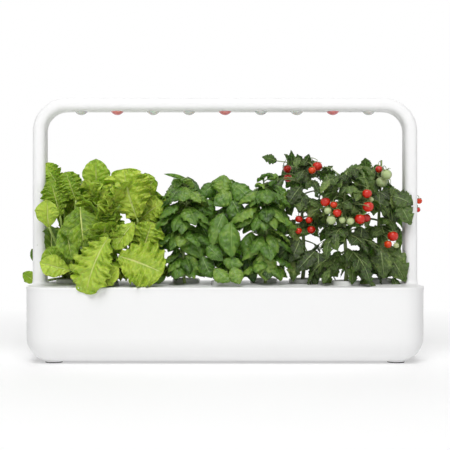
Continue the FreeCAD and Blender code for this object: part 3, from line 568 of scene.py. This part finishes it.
# The leaves seen in the photograph, by pod: base across and down, tip across and down, width, depth and
# tone, and the kind where it isn't the plant's own. Depths are in millimetres behind the middle.
photo_leaves = {}
photo_leaves[1] = [
    (49, 227, 48, 200, 21, -42, 0.85, "smooth"), (62, 190, 45, 164, 19, -5, 0.55),
    (60, 216, 51, 182, 22, -18, 0.5), (76, 200, 66, 172, 20, -10, 0.5),
    (66, 222, 72, 260, 22, -62, 0.3, "smooth"), (52, 264, 51, 226, 24, -5, 0.0, "smooth"),
    (62, 270, 47, 248, 26, -45, 0.5, "smooth"), (70, 270, 40, 262, 20, -64, 0.9, "smooth"),
    (36, 283, 23, 273, 11, 38, 0.6, "smooth"), (42, 266, 32, 249, 9, 34, 0.1, "smooth"),
]
photo_leaves[2] = [
    (97, 194, 96, 159, 24, -8, 0.7, "smooth"), (104, 216, 95, 188, 36, -25, 0.75),
    (80, 207, 84, 247, 36, -55, 0.3, "smooth"), (108, 238, 86, 294, 34, -90, 0.8),
    (98, 284, 119, 268, 20, -78, 1.0, "smooth"), (104, 244, 99, 210, 28, -38, 0.25),
    (117, 246, 113, 214, 22, -20, 0.55), (92, 262, 106, 240, 24, -50, 0.6),
]
photo_leaves[3] = [
    (137, 218, 124, 169, 42, -22, 1.0), (152, 198, 145, 173, 18, 10, 0.75, "smooth"),
    (146, 210, 161, 195, 18, 22, 0.4), (136, 224, 163, 203, 22, 0, 0.85),
    (134, 223, 115, 250, 23, -52, 0.75, "smooth"), (140, 258, 152, 222, 28, -30, 0.7),
    (119, 256, 163, 273, 38, -74, 0.8),
]
photo_leaves[4] = [
    (187, 179, 164, 174, 3.5, 8, 0.6), (184, 178, 195, 185, 4, 6, 0.2),
    (181, 178, 166, 201, 15, 20, 0.35), (184, 178, 189, 194, 12, 14, 0.95),
    (188, 177, 201, 197, 9, 24, 0.1), (186, 190, 194, 221, 20, 0, 0.45),
    (202, 198, 208, 222, 17, -6, 0.45), (178, 207, 159, 236, 19, -8, 0.3),
    (179, 229, 168, 252, 17, -20, 0.5), (168, 234, 155, 251, 15, -8, 0.1),
    (186, 224, 202, 259, 25, -34, 0.5), (177, 248, 176, 281, 17, -32, 0.15),
    (188, 254, 190, 278, 17, -40, 0.65), (180, 199, 184, 216, 9, -10, 0.95),
    (166, 276, 151, 281, 8, -10, 0.6),
]
photo_leaves[5] = [
    (217, 183, 200, 197, 15, 2, 0.4), (224, 175, 224, 195, 21, -6, 0.75),
    (231, 192, 214, 206, 16, -16, 0.6), (232, 183, 253, 204, 19, -6, 0.5),
    (232, 200, 243, 227, 18, -20, 0.35), (200, 220, 210, 242, 16, -18, 0.1),
    (223, 213, 210, 247, 18, -38, 0.55), (231, 222, 232, 258, 21, -55, 0.55),
    (202, 256, 212, 278, 17, -44, 0.35), (214, 269, 230, 282, 14, -72, 0.8),
    (233, 267, 240, 284, 15, -74, 0.85), (223, 260, 243, 265, 12, -58, 0.6),
    (207, 245, 223, 261, 13, -50, 0.5),
]
photo_leaves[6] = [
    (258, 202, 246, 227, 16, -2, 0.4), (262, 210, 264, 242, 19, -14, 0.6),
    (266, 184, 264, 211, 16, 4, 0.7), (272, 185, 287, 205, 16, 6, 0.55),
    (281, 199, 271, 218, 14, 2, 0.7), (280, 205, 284, 237, 16, 8, 0.25),
    (251, 232, 250, 261, 18, -32, 0.45), (262, 251, 266, 281, 22, -46, 0.9),
    (276, 265, 281, 281, 11, -30, 0.8), (246, 252, 254, 283, 15, -22, 0.1),
    (261, 247, 281, 240, 11, -30, 0.8),
]
photo_leaves[7] = [
    (277, 161, 262, 157, 9, 24, 0.2), (291, 166, 291, 150, 6, 20, 0.2), (291, 162, 284, 154, 5, 22, 0.3),
    (303, 162, 284, 172, 13, 6, 0.2), (302, 168, 289, 186, 14, 0, 0.3),
    (305, 164, 304, 184, 12, -4, 0.1), (304, 168, 297, 154, 8, 12, 0.2),
    (306, 167, 309, 154, 8, 16, 0.1), (320, 173, 333, 166, 6, 22, 0.3), (320, 176, 331, 173, 5, 24, 0.4),
    (301, 186, 287, 206, 15, -6, 0.1), (303, 193, 299, 213, 15, -10, 0.15),
    (285, 176, 272, 188, 8, 10, 0.4), (318, 201, 308, 219, 11, -8, 1.0),
    (298, 241, 275, 259, 20, -10, 0.1), (300, 239, 289, 263, 15, -14, 0.2),
    (298, 257, 292, 280, 15, -4, 1.0), (315, 251, 296, 272, 17, -18, 0.1),
    (318, 253, 318, 279, 18, -22, 0.15),
]
photo_leaves[8] = [
    (326, 175, 336, 191, 14, -30, 0.5), (339, 181, 355, 193, 15, -32, 0.0),
    (364, 166, 366, 191, 21, -24, 0.45), (363, 167, 342, 177, 11, -16, 0.4),
    (362, 227, 359, 247, 16, -36, 0.1), (344, 227, 336, 248, 12, -46, 0.15),
    (346, 230, 352, 242, 10, -40, 0.2), (333, 227, 326, 241, 10, -36, 0.3),
    (338, 251, 330, 278, 13, -40, 0.5), (345, 251, 361, 274, 16, -44, 0.45),
    (352, 266, 352, 285, 11, -50, 0.35), (352, 205, 340, 222, 10, -10, 0.2),
    (346, 194, 349, 212, 10, -6, 0.2),
]
photo_leaves[9] = [
    (368, 169, 386, 186, 11, -6, 0.1), (366, 169, 365, 158, 10, 0, 0.3),
    (383, 190, 396, 207, 18, -2, 0.4), (393, 196, 413, 205, 19, -24, 0.3),
    (399, 203, 411, 225, 17, -30, 0.35), (405, 204, 419, 223, 15, -34, 0.6),
    (388, 199, 383, 216, 14, -8, 0.3), (390, 205, 393, 226, 15, 0, 0.1),
    (366, 231, 366, 257, 14, -8, 0.15), (366, 254, 369, 280, 11, -6, 0.2),
    (380, 247, 384, 279, 22, -24, 0.45), (386, 247, 408, 283, 24, -30, 0.4),
    (376, 182, 372, 204, 10, 4, 0.4),
]

# The top edge of the plants in the photograph: places across, and how far down the edge is there
photo_crown = [
    (44, 166), (46, 168), (52, 169), (58, 171), (63, 175), (66, 179), (72, 181), (80, 181),
    (83, 167), (86, 162), (92, 160), (98, 161), (102, 169), (103, 183), (106, 189), (108, 179),
    (113, 172), (118, 171), (130, 171), (134, 177), (138, 184), (141, 180), (145, 175), (150, 178),
    (155, 186), (158, 194), (164, 196), (168, 181), (174, 178), (184, 178), (190, 178), (195, 182),
    (198, 190), (200, 194), (205, 190), (211, 183), (220, 176), (226, 175), (230, 178), (240, 184),
    (246, 187), (252, 192), (256, 182), (262, 162), (270, 157), (276, 158), (283, 155), (291, 152),
    (298, 155), (308, 156), (317, 162), (326, 167), (333, 168), (338, 174), (350, 168), (358, 162),
    (370, 162), (382, 166), (388, 172), (392, 186), (404, 194), (410, 198), (419, 206),
]

# How far a leaf may move to stay under that edge and behind the tomatoes, in millimetres
deepest_drop = 60.0
deepest_leaflet_drop = 26.0
step_back = 8.0
front_limit = 107.0

# How much wider than its outline in the photograph a leaf is, because its sides curl away
photo_leaf_fullness = {"lettuce": 1.25, "smooth": 1.15, "basil": 1.3, "tomato": 1.25}

# How such a leaf lies: its base behind its depth and its tip before it. It looks at the camera, and by
# chance up and aside.
base_behind = 6
tip_before = 4
looks_up = (0.1, 0.7)
looks_aside = 0.45
sway_spread = 0.06
photo_leaf_bulge = 0.12
photo_stalk_arch = 0.05
photo_stalk_drop = 8
lettuce_stalk_height = 4

# The leaves that fill each plant all round stand where the solid plant has its leaves. A tier is how
# many leaves, the heights of their roots and tips as shares of the plant's, their reach and half width.
plant_heights = (184.0, 188.0, 172.0, 168.0, 160.0, 166.0, 202.0, 176.0, 200.0)
plant_turn = 0.7
tiers = {
    "lettuce": [(7, 0.06, 0.05, 66.0, 28.0), (6, 0.14, 0.45, 60.0, 30.0), (5, 0.22, 0.78, 44.0, 28.0),
                (3, 0.30, 1.00, 20.0, 24.0)],
    "basil": [(5, 0.26, 0.08, 42.0, 17.0), (6, 0.50, 0.28, 48.0, 18.0), (6, 0.74, 0.52, 50.0, 18.0),
              (5, 0.92, 0.74, 40.0, 17.0), (4, 0.95, 1.00, 22.0, 13.0)],
    "tomato": [(5, 0.26, 0.10, 56.0, 16.0), (5, 0.44, 0.40, 58.0, 15.0), (5, 0.62, 0.62, 56.0, 15.0),
               (5, 0.80, 0.84, 46.0, 14.0), (4, 0.84, 1.00, 24.0, 10.0)],
}

# How many leaves there are for each of the solid plant's
fuller = {"lettuce": 1.7, "basil": 2.2, "tomato": 1.5}

# How the filling's leaves differ by chance. Those that look to the front are shorter.
leaf_seed = 100
turn_spread = 0.35
lift_spread = 0.08
root_lift_share = 0.7
size_range = (0.8, 1.1)
facing_spread = 0.25
filling_tones = (0.2, 0.8)
filling_detail = 0.8
filling_stalk_arch = 0.15
filling_stalk_drop = 4
filling_forms = {
    "lettuce": dict(stalk_share=0.08, stalk_radii=(2.2, 1.5), bulge=0.3),
    "basil": dict(stalk_share=0.22, stalk_radii=(0.9, 0.7), bulge=0.2),
}
basil_looks_up = 0.8
lettuce_lean = 1.6
frontward = 0.3
front_share = 0.8
lowest_tip = 6.0

# A tomato leaf's leaflets: the point of its spine where each stands, its side, and how long it is
leaflets = [(12, 0, 1.6), (5, -1, 1.35), (5, 1, 1.35), (9, -1, 1.35), (9, 1, 1.35)]
spine_points = 13
spine_radii = (1.3, 0.5)
spine_tones = (0.05, 0.6)
spine_arch = 0.2
leaflet_outward = (0.3, 0.9)
leaflet_drooping = (0.5, 1.3)
leaflet_lengths = (1.0, 1.35)
leaflet_widths = (1.1, 1.4)
leaflet_tones = (-0.1, 0.25)
leaflet_looks_up = 0.7
leaflet_facing_spread = 0.3
leaflet_bulge = 0.14
leaflet_stalk_radius = 0.45

# Stems and stalks: heights as shares of the plant's, and radii in millimetres
stem_heights = {"lettuce": 0.3, "basil": 0.96, "tomato": 0.96}
stem_radii = {"lettuce": 7.0, "basil": 2.6, "tomato": 3.4}
stem_taper = 0.45
stem_sides = 10
stem_points = 10
stem_sway = 2.5
stem_bends = 5
stem_depth = 1.5
photo_stalk_radii = {"lettuce": (2.4, 1.6), "basil": (1.1, 0.8), "tomato": (1.1, 0.8)}

# The room that the leaves have, from the middle
room_right = 279.0
room_front = 91.5
room_behind_lettuce = 62.25
leaf_gap = 0.5
least_share = 0.01

# The tomatoes seen in the photograph: right of, behind and above the soil's middle, radius, ripeness
fruit_places = {
    7: [(-22, 34, 180, 7, red), (-21, 34, 165, 7, red), (22, -18, 181, 7.9, red),
        (12.7, -30, 174, 6.2, orange), (-9, -40, 97.5, 5.9, red), (7, -38, 96, 5.7, red),
        (-9.5, -41, 79, 5.4, red), (11, -34, 81, 6.8, red)],
    8: [(-33.5, -20, 123.5, 7.7, red), (-21, -24, 119, 5.6, orange), (-16.5, -28, 106.5, 6.8, red),
        (-30.5, -26, 110, 5.8, green), (-26, -32, 95.5, 7.2, green), (-9, -30, 95.5, 5.2, green),
        (3.4, -28, 94, 6.2, green), (18.5, -26, 97.4, 8.3, red), (29.6, -14, 99, 6.8, dark_red),
        (31, -24, 116, 8.6, red), (37, -14, 127, 4.2, green), (29.6, -22, 136, 7.4, red)],
    9: [(-6, -26, 176, 6, red), (4, -36, 167, 8.8, green), (-1, -22, 156, 9.4, green),
        (12, -48, 71, 8.6, red), (3.5, -54, 58.5, 6.2, orange), (17, -50, 56.5, 4.6, green),
        (61.7, -4, 126.5, 5.0, orange), (59.5, -4, 112.5, 4.4, red)],
}

# A tomato's form, and its sepals and stalk. Shares are of its radius, lengths in millimetres.
fruit_seed = 200
flattening = 0.93
dimple_depth = 0.18
dimple_width = 0.35
ribs = 5
rib_height = 0.012
crown_share = 0.8
sepals = 5
sepal_turns = (0, 0.5)
sepal_reach = 0.95
sepal_lift = (-0.1, 0.35)
sepal_width = 0.3
sepal_bulge = 0.1
sepal_tone = 0.4
knee_offset = np.array([0.0, 3.0, 4.0])
fruit_stalk_arch = 10
fruit_stalk_climb = 8
fruit_stalk_points = 9
fruit_stalk_radius = 0.6


def stem_path(pod):
    """The plant's main stem, which leans a little as it grows."""
    foot = pod_middle(pod)
    height = plant_heights[pod - 1] * stem_heights[pod_kinds[pod - 1]]
    rise = np.linspace(0, 1, stem_points)
    sway = stem_sway * np.sin(rise * stem_bends + pod)
    path = foot[None, :] + np.stack([sway, sway / 2, height * rise], axis=-1)
    path[0] = foot - upward * stem_depth
    return path


def nearest_on(path, point, below):
    """A point of the stem a little below a leaf's base."""
    wanted = np.clip(point[2] - below, path[1, 2], path[-1, 2])
    share = np.interp(wanted, path[:, 2], np.arange(len(path)))
    low = int(share)
    high = min(low + 1, len(path) - 1)
    return path[low] + (path[high] - path[low]) * (share - low)


def room(pod, out):
    """How far a leaf may reach from its pod before it comes to a neighbour's room or the rim."""
    here = pod_middle(pod)
    behind = room_behind_lettuce if pod_kinds[pod - 1] == "lettuce" else room_front
    limits = []
    for way, low, high in ((0, -room_right, room_right), (1, -room_front, behind)):
        if abs(out[way]) > least_share:
            edge = high if out[way] > 0 else low
            limits.append((edge - here[way]) / out[way])
    for other in range(1, len(pod_kinds) + 1):
        between_pods = pod_middle(other) - here
        apart = np.linalg.norm(between_pods)
        if other != pod and out @ between_pods > least_share * apart:
            limits.append((apart / 2 - leaf_gap) * apart / (out @ between_pods))
    return min(limits)


def fill_plant(growth, pod, kind, path, chance):
    """Leaves all round the stem, so that the plant is full from every side."""
    foot = pod_middle(pod)
    height = plant_heights[pod - 1]
    for tier, (solid_count, root_share, tip_share, reach, half_width) in enumerate(tiers[kind]):
        count = round(solid_count * fuller[kind])
        for number in range(count):
            angle = full_turn * (number + tier % 2 / 2) / count + plant_turn * (pod - 1)
            angle += chance.uniform(-turn_spread, turn_spread)
            out = np.array([math.cos(angle), math.sin(angle), 0.0])
            lift = chance.uniform(-lift_spread, lift_spread)
            size = chance.uniform(*size_range)
            allowed = min(reach * size, room(pod, out))
            if out @ toward_camera > frontward:
                allowed *= front_share
            squeeze = (allowed / reach) ** 0.5
            root = foot + upward * height * (root_share + lift * root_lift_share)
            tip = foot + out * allowed + upward * max(height * min(tip_share + lift, 1.0), lowest_tip)
            width = 2 * half_width * squeeze * size
            if kind == "tomato":
                add_compound_leaf(growth, path, root, tip, half_width * size, chance)
                continue
            facing = out + upward * basil_looks_up
            if kind == "lettuce":
                facing = upward - out * max(tip_share - root_share, 0.0) * lettuce_lean
            leaf = "smooth" if kind == "lettuce" and number % 3 == 0 else kind
            add_filler(growth, leaf, path, root, tip, width, facing, chance, **filling_forms[kind])


def add_filler(growth, kind, path, root, tip, width, facing, chance, stalk_share, stalk_radii, bulge):
    """One leaf of the filling, moved to where the photograph has room for it."""
    base = root + (tip - root) * stalk_share
    facing = facing + chance.uniform(-facing_spread, facing_spread, 3)
    points, places = blade_points(kind, base, tip, width, facing, bulge, chance, detail=filling_detail)
    shift = shift_for_view(points, kind, deepest_drop)
    if shift is None:
        return
    end = base + shift
    start = nearest_on(path, end, filling_stalk_drop)
    add_stalk(growth, start, end, stalk_radii, plain_tone, filling_stalk_arch)
    add_leaf(growth, kind, points + shift, places, chance.uniform(*filling_tones))


def add_compound_leaf(growth, path, root, tip, half_width, chance):
    """A leaf of several leaflets that hang from an arched stalk."""
    share = np.linspace(0, 1, spine_points)
    start = nearest_on(path, root, 0)
    bend = (root + tip) / 2 + upward * spine_arch * np.linalg.norm(tip - root)
    drop = above_crown(curve_points(start, bend, tip, share))
    start = nearest_on(path, root, drop)
    bend = bend - upward * drop
    tip = tip - upward * drop
    out = unit((tip - start) * level)
    spine = curve_points(start, bend, tip, share)
    add_tube(growth, spine, np.linspace(*spine_radii, len(spine)), plain_tone, stalk_slot)
    beside = np.cross(out, upward)
    tone = chance.uniform(*spine_tones)
    for step, hand, long in leaflets:
        start = spine[step]
        outward = out * chance.uniform(*leaflet_outward)
        way = unit(beside * hand + outward - upward * chance.uniform(*leaflet_drooping))
        end = start + way * half_width * long * chance.uniform(*leaflet_lengths)
        facing = out + upward * leaflet_looks_up
        facing = facing + chance.uniform(-leaflet_facing_spread, leaflet_facing_spread, 3)
        width = half_width * chance.uniform(*leaflet_widths)
        points, places = blade_points(
            "tomato", start, end, width, facing, leaflet_bulge, chance, detail=filling_detail
        )
        shift = shift_for_view(points, "tomato", deepest_leaflet_drop)
        if shift is not None:
            add_leaf(growth, "tomato", points + shift, places, tone + chance.uniform(*leaflet_tones))
            stalk = [start, start + shift * 0.5 + out, start + shift + out * 0.5]
            add_tube(growth, stalk, leaflet_stalk_radius, plain_tone, stalk_slot)


def add_photo_leaf(growth, pod, row, path, chance):
    """A leaf placed where the photograph shows it, with its stalk from the plant's stem."""
    base_across, base_down, tip_across, tip_down, wide, depth, tone, *other_kind = row
    plant = pod_kinds[pod - 1]
    kind = other_kind[0] if other_kind else plant
    base = from_photo(base_across, base_down, depth + base_behind)
    tip = from_photo(tip_across, tip_down, depth - tip_before)
    width = wide * (camera_away + depth) / photo_focal * photo_leaf_fullness[kind]
    facing = toward_camera + upward * chance.uniform(*looks_up)
    facing = facing + np.array([chance.uniform(-looks_aside, looks_aside), 0.0, 0.0])
    sway = chance.uniform(-sway_spread, sway_spread)
    points, places = blade_points(kind, base, tip, width, facing, photo_leaf_bulge, chance, sway=sway)
    if kind == "tomato":
        while hides_fruit(points):
            points -= toward_camera * step_back
            base = base - toward_camera * step_back
    if plant == "lettuce":
        start = pod_middle(pod) + upward * lettuce_stalk_height
    else:
        start = nearest_on(path, base, photo_stalk_drop)
    add_stalk(growth, start, base, photo_stalk_radii[plant], tone, photo_stalk_arch)
    add_leaf(growth, kind, points, places, tone)


def finish_piece(growth, name, materials, pod, solid):
    """Makes a piece that moves with its pod, and stands for a solid of the frame."""
    made = growth.piece(name, materials)
    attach(made, f"pod_{pod}")
    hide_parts(solid)


def make_plant(pod, kind, materials):
    """One plant: its stem, the leaves in the photograph, and those that fill it all round."""
    chance = np.random.RandomState(leaf_seed + pod)
    growth = Growth()
    path = stem_path(pod)
    thick = stem_radii[kind]
    radii = np.linspace(thick, thick * stem_taper, len(path))
    add_tube(growth, path, radii, plain_tone, stalk_slot, sides=stem_sides)
    for row in photo_leaves[pod]:
        add_photo_leaf(growth, pod, row, path, chance)
    fill_plant(growth, pod, kind, path, chance)
    finish_piece(growth, f"{kind}_plant_{pod}", materials, pod, f"{kind}_{pod}")


def add_ball(growth, middle, radius, tone, slot, rings=14, sides=20):
    """A slightly flattened fruit with a dimple at its top."""
    polar = np.linspace(0, math.pi, rings)[:, None]
    turn = np.linspace(0, full_turn, sides, endpoint=False)[None, :]
    swell = 1 - dimple_depth * np.exp(-((polar / dimple_width) ** 2))
    swell = swell + rib_height * np.cos(ribs * turn) * np.sin(polar)
    height = flattening * np.cos(polar) * swell * np.ones_like(turn)
    around = np.sin(polar) * swell
    points = np.stack([around * np.cos(turn), around * np.sin(turn), height], axis=-1) * radius + middle
    places = np.zeros((rings * sides, 2))
    growth.add(points.reshape(-1, 3), grid_faces(rings, sides, True)[:, ::-1], places, tone, slot)


def add_sepals(growth, crown, radius, chance):
    """The star of small leaves on a tomato."""
    for number in range(sepals):
        heading = full_turn * number / sepals + chance.uniform(*sepal_turns)
        out = np.array([math.cos(heading), math.sin(heading), 0.0])
        tip = crown + out * radius * sepal_reach + upward * radius * chance.uniform(*sepal_lift)
        width = radius * sepal_width
        points, places = blade_points("basil", crown, tip, width, upward, sepal_bulge, chance)
        add_leaf(growth, "basil", points, places, sepal_tone, fruit_stalk_slot)


def make_fruit(pod, materials):
    """One plant's tomatoes, each with its star of sepals and its stalk."""
    chance = np.random.RandomState(fruit_seed + pod)
    growth = Growth()
    path = stem_path(pod)
    for right, behind, above, radius, ripeness in fruit_places[pod]:
        middle = pod_middle(pod) + np.array([right, behind, above])
        add_ball(growth, middle, radius, plain_tone, ripeness)
        crown = middle + upward * radius * crown_share
        add_sepals(growth, crown, radius, chance)
        knee = crown + knee_offset
        start = nearest_on(path, middle, -fruit_stalk_climb)
        bend = (start + knee) / 2 + upward * fruit_stalk_arch
        route = curve_points(start, bend, knee, np.linspace(0, 1, fruit_stalk_points))
        route = np.concatenate([route, [crown]])
        add_tube(growth, route, fruit_stalk_radius, plain_tone, fruit_stalk_slot)
    finish_piece(growth, f"tomatoes_{pod}", materials, pod, f"tomato_fruit_{pod}")


def plant_materials():
    """Each kind's leaf and stem, and the fruit's skins in the order of their ripeness."""
    leaves = {
        "lettuce": leaf_material(
            "leaf_lettuce", color(78, 108, 20), color(136, 168, 40), color(182, 206, 72),
            color(202, 216, 124), side_veins=7.0, vein_lean=5.0, gloss=0.36, cell_scale=190.0,
            cell_height=0.0016),
        "basil": leaf_material(
            "leaf_basil", color(38, 66, 12), color(88, 126, 42), color(138, 168, 70),
            color(128, 158, 84), side_veins=8.0, vein_lean=7.0, gloss=0.26, cell_scale=150.0,
            cell_height=0.0010),
        "tomato": leaf_material(
            "leaf_tomato", color(40, 54, 18), color(82, 104, 46), color(140, 160, 84),
            color(142, 160, 104), side_veins=6.0, vein_lean=6.0, gloss=0.42, cell_scale=260.0,
            cell_height=0.0009),
    }
    stems = {
        "lettuce": stem_material("stem_lettuce", color(186, 204, 116), color(140, 168, 70)),
        "basil": stem_material("stem_basil", color(140, 160, 92), color(104, 124, 60)),
        "tomato": stem_material("stem_tomato", color(158, 176, 112), color(112, 130, 72)),
    }
    skins = [
        fruit_skin("skin_red", color(196, 24, 8), color(212, 42, 14)),
        fruit_skin("skin_orange", color(222, 72, 14), color(208, 44, 10)),
        fruit_skin("skin_green", color(172, 190, 128), color(190, 204, 150)),
        fruit_skin("skin_dark_red", color(160, 20, 16), color(182, 30, 20)),
    ]
    return leaves, stems, skins


def add_plants():
    """The nine plants, and the fruit of the tomatoes."""
    leaves, stems, skins = plant_materials()
    for pod, kind in enumerate(pod_kinds, start=1):
        make_plant(pod, kind, [leaves[kind], stems[kind]])
        if kind == "tomato":
            make_fruit(pod, skins + [stems[kind]])


# Finish of the CAD's own pieces

shell_white = (0.9, 0.9, 0.9, 1.0)
trim_white = (0.88, 0.88, 0.88, 1.0)


def paint_frame():
    """Gives each solid that shows the finish of its slot in the record."""
    finishes = {
        "white_shell": moulded_plastic("plastic_shell", shell_white, roughness=0.42),
        "white_trim": moulded_plastic("plastic_trim", trim_white, roughness=0.45),
        "foot_rubber": rubber(),
        "float_orange": moulded_plastic("float_foam", color(232, 120, 40), roughness=0.5),
        # Each lens's second colour is painted shade at its rim, where it is seen edge on
        "lens_clear": lens("lens_clear", color(240, 240, 236), color(150, 150, 146)),
        "lens_red": lens("lens_red", color(246, 158, 156), color(176, 44, 70)),
        "board_green": circuit_board("board_green", color(26, 84, 46), color(60, 128, 76)),
        "led_board_white": circuit_board("board_white", color(226, 226, 222), color(190, 190, 184)),
        "emitter_yellow": moulded_plastic("phosphor", color(236, 206, 96), roughness=0.4),
        "inlet_black": moulded_plastic("inlet_black", color(34, 34, 36), roughness=0.4),
        "button_grey": moulded_plastic("button_grey", color(196, 197, 199), roughness=0.32),
        "contact_brass": metal("brass", color(214, 178, 94), roughness=0.25),
        "screw_steel": metal("steel", color(190, 192, 196), roughness=0.3),
        "cable_white": moulded_plastic("cable_sheath", color(232, 232, 230), roughness=0.5),
        "cup_grey": moulded_plastic("cup_grey", color(226, 227, 224), roughness=0.18, coat=0.4),
        "soil_brown": peat(),
    }
    slots = {row["node"]: row["material_slot"] for row in frame["record"]["subparts"]}
    for name, part in frame["nodes"].items():
        if slots[name] in finishes:
            part.data.materials.clear()
            part.data.materials.append(finishes[slots[name]])


# Stage

pure_white = (1.0, 1.0, 1.0, 1.0)
floor_shade = (0.74, 0.74, 0.74, 1.0)
other_floor_shade = (0.76, 0.76, 0.76, 1.0)


def seen_directly(tree):
    """One for what the camera sees, by itself or in gloss and glass, and nought for light on the object."""
    ray = node(tree, "LightPath")
    shows = math_node(tree, "MAXIMUM", ray.outputs["Is Camera Ray"], ray.outputs["Is Glossy Ray"])
    return math_node(tree, "MAXIMUM", shows, ray.outputs["Is Transmission Ray"])


def add_world():
    """A wide white room whose light comes from above, in front and behind, and little from the sides."""
    world = bpy.data.worlds.new("studio")
    bpy.context.scene.world = world
    world.use_nodes = True
    tree = world.node_tree
    tree.nodes.clear()
    direction = node(tree, "TexCoord").outputs["Generated"]
    sideways = node(tree, "SeparateXYZ", {0: direction}).outputs[0]
    squared = math_node(tree, "MULTIPLY", sideways, sideways)
    open_share = math_node(tree, "SUBTRACT", 1.0, squared)
    narrowed = math_node(tree, "POWER", open_share, world_narrowness)
    strength = math_node(tree, "MULTIPLY", narrowed, world_peak)
    light = node(tree, "Background", {"Color": pure_white, "Strength": strength})
    seen = node(tree, "Background", {"Color": pure_white, "Strength": 1.0})
    both = node(tree, "MixShader", {0: seen_directly(tree), 1: light.outputs[0], 2: seen.outputs[0]})
    output = node(tree, "OutputWorld")
    tree.links.new(both.outputs[0], output.inputs["Surface"])


def add_lamp():
    """A soft lamp above and in front, a little to the left."""
    data = bpy.data.lights.new("key", "AREA")
    data.energy = lamp_power
    data.size = lamp_size
    lamp = new_object("key", data)
    lamp.location = lamp_place
    aim = Vector(lamp_target) - Vector(lamp_place)
    lamp.rotation_euler = aim.to_track_quat("-Z", "Y").to_euler()


def add_floor():
    """A pale floor that keeps the object's shadow and turns to plain white away from it."""
    half = floor_half
    corners = [(-half, -half, 0), (half, -half, 0), (half, half, 0), (-half, half, 0)]
    mesh = bpy.data.meshes.new("floor")
    mesh.from_pydata(corners, [], [(0, 1, 2, 3)])
    material, tree, shader = new_material(
        "floor_white", Roughness=0.9, Specular_IOR_Level=0.1, Emission_Color=pure_white,
        Emission_Strength=floor_glow
    )
    feed(shader, Base_Color=mixed(tree, noise(tree, scale=3.0), floor_shade, other_floor_shade))
    away = node(tree, "VectorMath", {0: object_place(tree)}, operation="LENGTH").outputs["Value"]
    clear = between(tree, away, floor_shadow_reach, floor_clear_reach)
    share = math_node(tree, "MULTIPLY", clear, seen_directly(tree))
    white = node(tree, "Emission", {"Color": pure_white, "Strength": 1.0})
    both = node(tree, "MixShader", {0: share, 1: shader.outputs[0], 2: white.outputs[0]})
    tree.links.new(both.outputs[0], tree.nodes["Material Output"].inputs["Surface"])
    mesh.materials.append(material)
    new_object("floor", mesh)


def add_camera():
    """The camera where the photograph's was, level and square to the front."""
    data = bpy.data.cameras.new("camera")
    data.lens = camera_lens
    data.sensor_width = camera_sensor
    data.clip_end = sight_limit
    camera = new_object("camera", data)
    camera.location = (0.0, -camera_away * millimetre, camera_height * millimetre)
    camera.rotation_euler = (math.radians(90), 0.0, 0.0)
    bpy.context.scene.camera = camera


bpy.context.scene.view_settings.view_transform = "Standard"
add_world()
add_lamp()
add_floor()
add_camera()
paint_frame()
add_plants()
